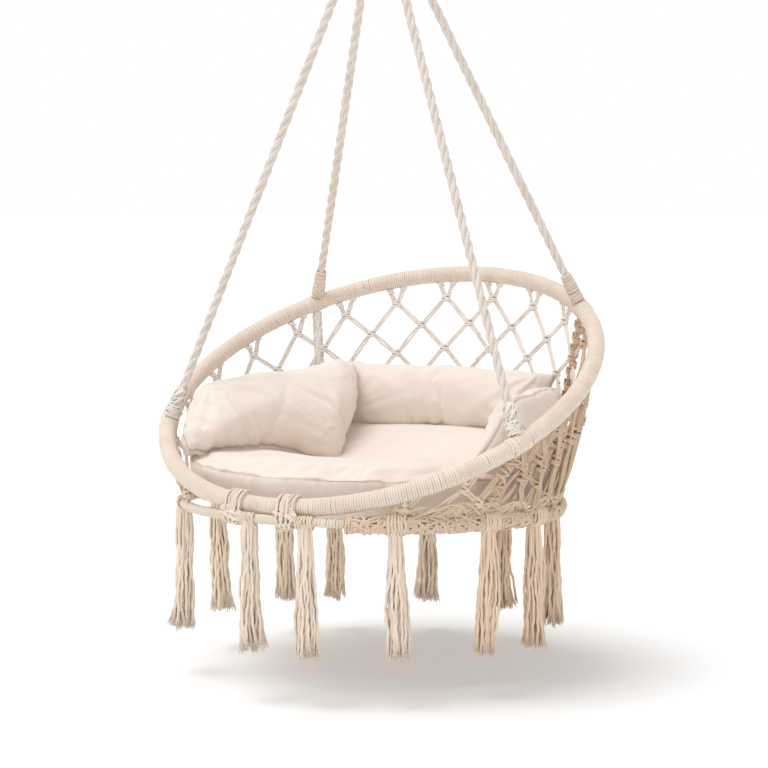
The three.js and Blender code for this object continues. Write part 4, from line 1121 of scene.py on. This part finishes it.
class HAMMOCK_OT_tassels(HammockOperator, Operator):
    """Hang the frayed tassels under the band"""
    bl_idname = "hammock.tassels"
    bl_label = "Tassels"

    def execute(self, context):
        heads = Cords(99)
        for n, turned in enumerate(TASSEL_ANGLES):
            angle = radians(turned)
            banded = BAND_START < angle % TURN < BAND_END
            cords = Cords(100 + n)
            self.yarns(cords, n, angle, BAND_BOTTOM if banded else SEAT_WRAP)
            # the yarn is tinted by where the tassel hangs: darker on the right as painted shade, paler at the
            # back and far left as painted light
            finish = "front_yarn" if -60 < turned < 60 else "side_yarn" if 60 < turned < 170 else "back_yarn"
            outer = BAND_OUTER if banded else SEAT_WRAP + 0.0022
            for k in range(6):
                def place(share):
                    a = angle + (k - 2.5) * 0.0050 / SEAT_RADIUS + 0.004 * wander(k + n, share * 8)
                    reach = outer + (0.0008 if 0 < share < 1 else -0.004)
                    return ring_point(SEAT, a, reach, radians(75 - 180 * share))

                heads.lay(trace(8, place), 0.0024)
            cords.piece(f"tassel_{n + 1:02d}_yarns", finish, "chair", f"tassel_{n + 1:02d}")
        heads.piece("tassel_heads", "knotted_cord", "chair")
        return {"FINISHED"}

    def yarns(self, cords, n, angle, underside):
        """Yarns that spread from the neck down, each frayed into fibres at its end."""
        root = ring_point(SEAT, angle) - Z * underside
        full = TASSEL_LENGTH + BAND_BOTTOM - underside
        tangent = (CHAIR_TURN @ Vector((cos(angle), sin(angle), 0))).normalized()
        outward = tangent.cross(Z)
        sway = Vector((wander(n, 3.3), wander(n, 9.1), 0)) * 0.006
        count, uniform = self.sizes.tassel_yarns, cords.chance.uniform
        golden = 2.39996  # turn from each yarn to the next

        def around(a):
            return tangent * cos(a) + outward * sin(a)

        for k in range(count):
            offset = around(k * golden + n) * sqrt((k + 0.5) / count)
            length = full - 0.002 - uniform(0, 0.012)
            fray = uniform(0.020, 0.034)
            phase = uniform(0, TURN)
            seed = k + n * 31
            line, radii = [], []
            for i in range(35):
                fall = (length - fray + 0.006) * i / 34 - 0.006
                share = fall / TASSEL_LENGTH
                spread = (TASSEL_FOOT - TASSEL_NECK) / 2 * min(1, max(0, share) ** 0.6)
                reach = (TASSEL_NECK / 2 * 0.80 + spread) * (1 + 0.10 * sin(7 * share + n))
                shake = tangent * wander(seed, fall * 20) + outward * wander(seed + 11, fall * 20)
                loose = (shake * 0.0030 + around(fall * 260 + phase) * 0.0006) * min(1, max(0, share * 3))
                line.append(root + offset * reach - Z * fall + loose + sway * share ** 2)
                radii.append(self.sizes.tassel_yarn / 2 * (1 + 0.10 * wander(k, fall * 60)))
            cords.lay(line, radii)
            heading = (line[-1] - line[-3]).normalized()
            for f in range(7):
                side = around(TURN * f / 7 + phase)
                flare = uniform(0.0005, 0.0032)
                long = fray * uniform(0.75, 1.05)
                fibre = trace(6, lambda t: (
                    line[-1] + heading * (long * t - 0.003 * (1 - t)) + side * (0.0012 + flare * t ** 1.5)
                    + side.cross(Z) * (0.0016 * t * wander(f + k, t * 4 + k))))
                cords.lay(fibre, [0.0012, 0.0011, 0.0010, 0.0009, 0.0008, 0.0006, 0.0004], 4)


def mesh_of(bm, name):
    """The mesh that a bmesh holds, merged, facing outwards and smooth."""
    bmesh.ops.remove_doubles(bm, verts=bm.verts, dist=1e-6)
    bmesh.ops.recalc_face_normals(bm, faces=bm.faces)
    mesh = bpy.data.meshes.new(name)
    bm.to_mesh(mesh)
    bm.free()
    mesh.shade_smooth()
    return mesh


class Rod:
    """A bent wire, drawn and spun from one round section."""

    def __init__(self, start, heading, radius, sides):
        self.bm = bmesh.new()
        turned = heading.to_track_quat("Z", "Y").to_matrix().to_4x4()
        made = bmesh.ops.create_circle(
            self.bm, segments=sides, radius=radius, matrix=Matrix.Translation(start) @ turned)
        self.at, self.heading = start.copy(), heading.normalized()
        self.edge = list({edge for vert in made["verts"] for edge in vert.link_edges})
        self.first = list(self.edge)

    def draw(self, length):
        made = bmesh.ops.extrude_edge_only(self.bm, edges=self.edge)["geom"]
        moved = [item for item in made if isinstance(item, bmesh.types.BMVert)]
        bmesh.ops.translate(self.bm, verts=moved, vec=self.heading * length)
        edges = [item for item in made if isinstance(item, bmesh.types.BMEdge)]
        self.edge = [edge for edge in edges if all(vert in moved for vert in edge.verts)]
        self.at = self.at + self.heading * length
        return self

    def bend(self, axis, angle, radius, steps):
        """Turns the heading about the axis by the angle."""
        centre = self.at + axis.cross(self.heading) * (radius * copysign(1, angle))
        made = bmesh.ops.spin(
            self.bm, geom=self.edge, cent=centre, axis=axis, dvec=(0, 0, 0), angle=angle, steps=steps,
            use_merge=False)
        self.edge = [item for item in made["geom_last"] if isinstance(item, bmesh.types.BMEdge)]
        turn = Matrix.Rotation(angle, 3, axis)
        self.at = centre + turn @ (self.at - centre)
        self.heading = turn @ self.heading
        return self

    def mesh(self, name):
        bmesh.ops.contextual_create(self.bm, geom=self.first)
        bmesh.ops.contextual_create(self.bm, geom=self.edge)
        caps = [face for face in self.bm.faces if len(face.verts) > 4]
        bmesh.ops.bevel(
            self.bm, geom=[edge for face in caps for edge in face.edges], offset=0.0006,
            offset_type="OFFSET", segments=2, profile=0.5, affect="EDGES", material=-1, clamp_overlap=True)
        return mesh_of(self.bm, name)


class HAMMOCK_OT_hardware(HammockOperator, Operator):
    """Bend the snap hook, its gate and the hanging ring from steel wire"""
    bl_idname = "hammock.hardware"
    bl_label = "Hook, gate and ring"

    def execute(self, context):
        bow = HOOK_WIDTH / 2
        nose = HOOK_LENGTH - HOOK_WIDTH - GATE_LENGTH + GATE_WIRE
        hook = Rod(Vector((0, -bow, -bow)), Z, HOOK_WIRE / 2, 24)
        hook.draw(HOOK_WIRE / 2).bend(-X, pi, bow, 24).draw(HOOK_LENGTH - HOOK_WIDTH)
        hook.bend(-X, pi, bow, 24).draw(nose)
        settled(hook.mesh("snap_hook_wire"), "plated_steel", "steel", "hook", "snap_hook")

        peg = HOOK_WIRE / 2 - GATE_PEG_REACH
        tight = GATE_WIRE * 0.8
        reach = HOOK_WIRE / 2 + 0.0008 + GATE_WIRE / 2 - tight
        down = Vector((0, sin(GATE_LEAN), -cos(GATE_LEAN)))
        corner = (down.cross(X), pi / 2, tight, 8)
        leg = GATE_LENGTH - 2 * tight
        gate = Rod(GATE_HINGE - X * peg, -X, GATE_WIRE / 2, 14)
        gate.draw(reach - peg).bend(*corner).draw(leg).bend(*corner).draw(2 * reach)
        gate.bend(*corner).draw(leg).bend(*corner).draw(reach - peg)
        settled(gate.mesh("hook_gate_wire"), "plated_steel", "steel", "gate", "hook_gate")

        low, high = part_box("hanging_ring")
        middle = (low + high) / 2
        ring = bmesh.new()
        start = Matrix.Translation(middle + X * RING_RADIUS)
        bmesh.ops.create_circle(ring, segments=20, radius=RING_WIRE / 2, matrix=start)
        bmesh.ops.spin(
            ring, geom=ring.edges[:], cent=middle, axis=Y, dvec=(0, 0, 0), angle=TURN, steps=64,
            use_merge=True)
        settled(mesh_of(ring, "hanging_ring_wire"), "plated_steel", "steel", "ring", "hanging_ring")

        for node in ("hoop_tube", "seat_ring_rod"):
            dress(frame["nodes"][node].data, "plated_steel")
        return {"FINISHED"}


# ---------------------------------------------------------------- cushions

def taken_over(obj):
    """Puts what the modifiers make in the mesh, and drops the modifiers."""
    made = bpy.data.meshes.new_from_object(obj.evaluated_get(bpy.context.evaluated_depsgraph_get()))
    obj.modifiers.clear()
    obj.data = made


def cover_of(node, cell, shrink, pressure, reach, stiffness):
    """A cover cut from a soft solid: merged, remeshed in even cells, drawn in all round and filled."""
    cover = bpy.data.objects.new(f"{node}_cover", frame["nodes"][node].data.copy())
    bpy.context.scene.collection.objects.link(cover)
    bm = bmesh.new()
    bm.from_mesh(cover.data)
    bmesh.ops.remove_doubles(bm, verts=bm.verts, dist=1e-5)
    bmesh.ops.recalc_face_normals(bm, faces=bm.faces)
    bm.to_mesh(cover.data)
    bm.free()
    remesh = cover.modifiers.new("cells", "REMESH")
    remesh.mode = "VOXEL"
    remesh.voxel_size = cell
    taken_over(cover)
    bm = bmesh.new()
    bm.from_mesh(cover.data)
    for _ in range(3):
        bmesh.ops.smooth_vert(
            bm, verts=bm.verts, factor=0.5, use_axis_x=True, use_axis_y=True, use_axis_z=True)
    bm.normal_update()
    for vert in bm.verts:
        vert.co -= vert.normal * shrink
    bm.to_mesh(cover.data)
    bm.free()
    fill(cover, pressure, reach, stiffness)
    return cover


def fill(cover, pressure, reach, stiffness):
    """Blows the cover up from inside, and lets no point go further than its reach."""
    cut = [vert.co.copy() for vert in cover.data.vertices]
    cloth = cover.modifiers.new("filling", "CLOTH")
    settings = cloth.settings
    settings.quality = 6
    settings.mass = 0.25
    settings.tension_stiffness = settings.compression_stiffness = stiffness
    settings.shear_stiffness = stiffness / 3
    settings.bending_stiffness = 0.6
    settings.use_pressure = True
    settings.uniform_pressure_force = pressure
    settings.effector_weights.gravity = 0
    cloth.collision_settings.use_collision = False
    for step in range(1, 21):
        bpy.context.scene.frame_set(step)
    taken_over(cover)
    bpy.context.scene.frame_set(1)
    for vert, home in zip(cover.data.vertices, cut):
        moved = vert.co - home
        if moved.length > reach:
            vert.co = home + moved * (reach / moved.length)


def sewn(cover, node):
    smooth = cover.modifiers.new("smooth", "SUBSURF")
    smooth.levels = smooth.render_levels = 1
    dress(cover.data, "cover_canvas")
    cover.data.shade_smooth()
    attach(cover, node)
    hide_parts(node)


class HAMMOCK_OT_seat_cushion(HammockOperator, Operator):
    """Fill the boxed seat cushion"""
    bl_idname = "hammock.seat_cushion"
    bl_label = "Seat cushion"

    def execute(self, context):
        cover = cover_of(
            "seat_cushion", self.sizes.cover_cell, shrink=0.005, pressure=3.0, reach=0.011, stiffness=14)
        local = CHAIR.inverted()
        mesh = cover.data
        seam = mesh.attributes.new("seam", "FLOAT", "POINT")
        normals = [vert.normal.copy() for vert in mesh.vertices]
        up = CHAIR_TURN @ Z
        for vert, normal in zip(mesh.vertices, normals):
            p = local @ vert.co
            depth = p.y + CUSHION_FORWARD
            wide, deep = p.x / CUSHION_HALF_WIDTH, depth / CUSHION_HALF_DEPTH
            around, share = atan2(wide, -deep), hypot(wide, deep)
            off = p.z + 0.010 - (
                CUSHION_SEAM + CUSHION_RISE * smoothstep(p.y / CUSHION_HALF_DEPTH, -0.25, 0.75))
            top = smoothstep(off, -0.02, 0.02)
            rim = smoothstep(share, 0.84, 0.97)
            # the seam's mark presses in a groove and darkens the colour there: partly the seam, partly
            # painted shade
            mark = bell(off, 0.0040) * rim
            seam.data[vert.index].value = mark
            pucker = wander(2, around * 26) * exp(-abs(off) / 0.028) * rim
            folds = wander(4, around * 7 + off * 9) * smoothstep(share, 0.75, 0.98)
            rumple = noise.fractal(Vector((p.x * 7, p.y * 11, 0.3)), 0.9, 2.1, 3) * top
            vert.co += normal * (-0.0020 * mark + 0.0028 * pucker + 0.0034 * folds + 0.0042 * rumple)
            # The left front bulges out and rises at its end, and the top sinks left of its middle
            bulge = bell(degrees(around) + 66, 48) * smoothstep(share, 0.72, 1.0)
            bulge *= smoothstep(p.z, -0.205, -0.15)
            vert.co += CHAIR_TURN @ Vector((p.x, depth, 0)).normalized() * (0.036 * bulge)
            end = bell(degrees(around) + 74, 26) * smoothstep(share, 0.70, 1.0)
            rise = (0.008 * bulge + 0.012 * end) * smoothstep(off, -0.03, 0.01)
            dent = 0.013 * bell(hypot(p.x + 0.10, p.y - 0.02), 0.075) * top
            vert.co += up * (rise - dent)
        sewn(cover, "seat_cushion")
        return {"FINISHED"}


class HAMMOCK_OT_pillows(HammockOperator, Operator):
    """Fill the back pillow and the two side pillows"""
    bl_idname = "hammock.pillows"
    bl_label = "Pillows"

    def execute(self, context):
        local = CHAIR.inverted()
        for seed, (name, shares) in enumerate(PILLOW_CORNERS.items()):
            cover = cover_of(
                f"{name}_pillow", self.sizes.cover_cell, shrink=0.003, pressure=4.0, reach=0.022,
                stiffness=10)
            corners = [Vector([a * b for a, b in zip(share, SEAT_SPAN)]) for share in shares]
            middle = sum(corners, Vector()) / 4
            wide = ((corners[1] + corners[2]) - (corners[0] + corners[3])).normalized()
            tall = ((corners[0] + corners[1]) - (corners[2] + corners[3])).normalized()
            width, height = (corners[1] - corners[0]).length, (corners[3] - corners[0]).length
            inward = wide.cross(tall)
            inward *= copysign(1, -inward.dot(middle))
            mesh = cover.data
            seam = mesh.attributes.new("seam", "FLOAT", "POINT")
            for vert in mesh.vertices:
                depth = (local @ vert.co - middle).dot(inward)
                # a mark round the pillow's middle, pressed in as a groove and darkened in colour as painted
                # shade of the gap against the next pillow
                seam.data[vert.index].value = bell(depth, 0.0042)
                if depth > 0:
                    vert.co -= CHAIR_TURN @ inward * (depth * PILLOW_FLAT.get(name, 0))

            pulls = []
            for corner in corners:
                near = min((local @ vert.co for vert in mesh.vertices), key=lambda co: (co - corner).length)
                pulls.append((near, (corner - near) * 0.9, 0.09))
            pulls += [(Vector(place), Vector(shift), radius) for place, shift, radius in PILLOW_PULLS[name]]
            for vert in mesh.vertices:
                p = local @ vert.co
                moves = (shift * bell((p - place).length, radius) for place, shift, radius in pulls)
                vert.co += CHAIR_TURN @ sum(moves, Vector())
            mesh.update()

            normals = [vert.normal.copy() for vert in mesh.vertices]
            for vert, normal in zip(mesh.vertices, normals):
                p = local @ vert.co
                change = 0.0
                for c, corner in enumerate(corners):  # folds that run out from each corner
                    away = p - corner
                    turn = atan2(away.dot(tall), away.dot(wide))
                    ray = wander(c + 4 * seed, turn * 6.5) * smoothstep(away.length, 0.008, 0.05)
                    change += 0.0065 * ray * exp(-away.length / 0.085)
                u = 0.5 + (p - middle).dot(wide) / width
                v = 0.5 - (p - middle).dot(tall) / height
                for u0, v0, u1, v1, deep, broad in PILLOW_CREASES[name]:
                    span = Vector(((u1 - u0) * width, (v1 - v0) * height))
                    here = Vector(((u - u0) * width, (v - v0) * height))
                    along = max(0.0, min(1.0, here.dot(span) / span.length_squared))
                    off = (here - span * along).length
                    end = abs(2 * along - 1)
                    change -= deep * bell(off, broad) * (1 - 0.8 * end)
                    change += 0.45 * deep * bell(off - 1.9 * broad, broad) * (1 - end)
                rumple = noise.fractal(Vector((p.x * 8, p.y * 8, p.z * 8 + seed)), 0.9, 2.1, 3)
                rim = exp(-min(v, 1 - v) * height / 0.02) + exp(-min(u, 1 - u) * width / 0.02)
                pucker = wander(seed + 20, (u * width - v * height) * 45) * min(1, rim)
                mark = seam.data[vert.index].value
                vert.co += normal * (change + 0.0042 * rumple + 0.0022 * pucker - 0.0022 * mark)
            sewn(cover, f"{name}_pillow")
        return {"FINISHED"}


# ---------------------------------------------------------------- stage

class HAMMOCK_OT_stage(HammockOperator, Operator):
    """Set a pale floor, a white world and soft lamps"""
    bl_idname = "hammock.stage"
    bl_label = "Stage"

    def execute(self, context):
        scene = context.scene
        bm = bmesh.new()
        bmesh.ops.create_grid(
            bm, x_segments=1, y_segments=1, size=30, matrix=Matrix.Translation(Z * FLOOR_HEIGHT))
        mesh = bpy.data.meshes.new("floor")
        bm.to_mesh(mesh)
        bm.free()
        floor = bpy.data.objects.new("floor", mesh)
        scene.collection.objects.link(floor)
        paint = Finish(bpy.data.materials.new("floor"))
        mesh.materials.append(
            paint.surface(opaque(scene.hammock_colours.floor), 0.95, {"Specular IOR Level": 0.0}))

        scene.world = bpy.data.worlds.new("studio")
        sky = Finish(scene.world)
        rays = sky.node("ShaderNodeLightPath").socket.node.outputs
        seen = Link(sky, rays["Is Camera Ray"]).math("MAXIMUM", Link(sky, rays["Is Glossy Ray"]))
        seen = seen.math("MAXIMUM", Link(sky, rays["Is Transmission Ray"]))
        sky.led_out("ShaderNodeOutputWorld", sky.node("ShaderNodeBackground", None, {
            "Color": (1, 1, 1, 1), "Strength": seen * (1 - WORLD_LIGHT) + WORLD_LIGHT}, "Background"))

        for name, heading, spread, power in LAMPS:
            data = bpy.data.lights.new(name, "SUN")
            data.angle = spread
            data.energy = power
            lamp = bpy.data.objects.new(name, data)
            lamp.matrix_world = Vector(heading).to_track_quat("-Z", "Y").to_matrix().to_4x4()
            scene.collection.objects.link(lamp)
        scene.view_settings.view_transform = "Standard"
        return {"FINISHED"}


OPERATORS = (
    HAMMOCK_OT_camera, HAMMOCK_OT_ropes, HAMMOCK_OT_neck, HAMMOCK_OT_hoop, HAMMOCK_OT_lashings,
    HAMMOCK_OT_stays, HAMMOCK_OT_net, HAMMOCK_OT_seat_net, HAMMOCK_OT_band, HAMMOCK_OT_ties,
    HAMMOCK_OT_tassels, HAMMOCK_OT_hardware, HAMMOCK_OT_seat_cushion, HAMMOCK_OT_pillows, HAMMOCK_OT_stage,
)


class HAMMOCK_PT_panel(Panel):
    """Sizes, colours and the pieces to make"""
    bl_idname = "HAMMOCK_PT_panel"
    bl_label = "Hammock Chair"
    bl_space_type = "VIEW_3D"
    bl_region_type = "UI"
    bl_category = "Hammock Chair"

    def draw(self, context):
        layout = self.layout
        for group in (context.scene.hammock_sizes, context.scene.hammock_colours):
            box = layout.box()
            for key in group.__annotations__:
                box.prop(group, key)
        for operator in OPERATORS:
            layout.operator(operator.bl_idname)


CLASSES = (HammockSizes, HammockColours, *OPERATORS, HAMMOCK_PT_panel)


def register():
    for cls in CLASSES:
        bpy.utils.register_class(cls)
    bpy.types.Scene.hammock_sizes = PointerProperty(type=HammockSizes)
    bpy.types.Scene.hammock_colours = PointerProperty(type=HammockColours)


def unregister():
    del bpy.types.Scene.hammock_colours
    del bpy.types.Scene.hammock_sizes
    for cls in reversed(CLASSES):
        bpy.utils.unregister_class(cls)


def main():
    register()
    for operator in OPERATORS:
        group, name = operator.bl_idname.split(".")
        getattr(getattr(bpy.ops, group), name)()


if __name__ == "__main__":
    main()
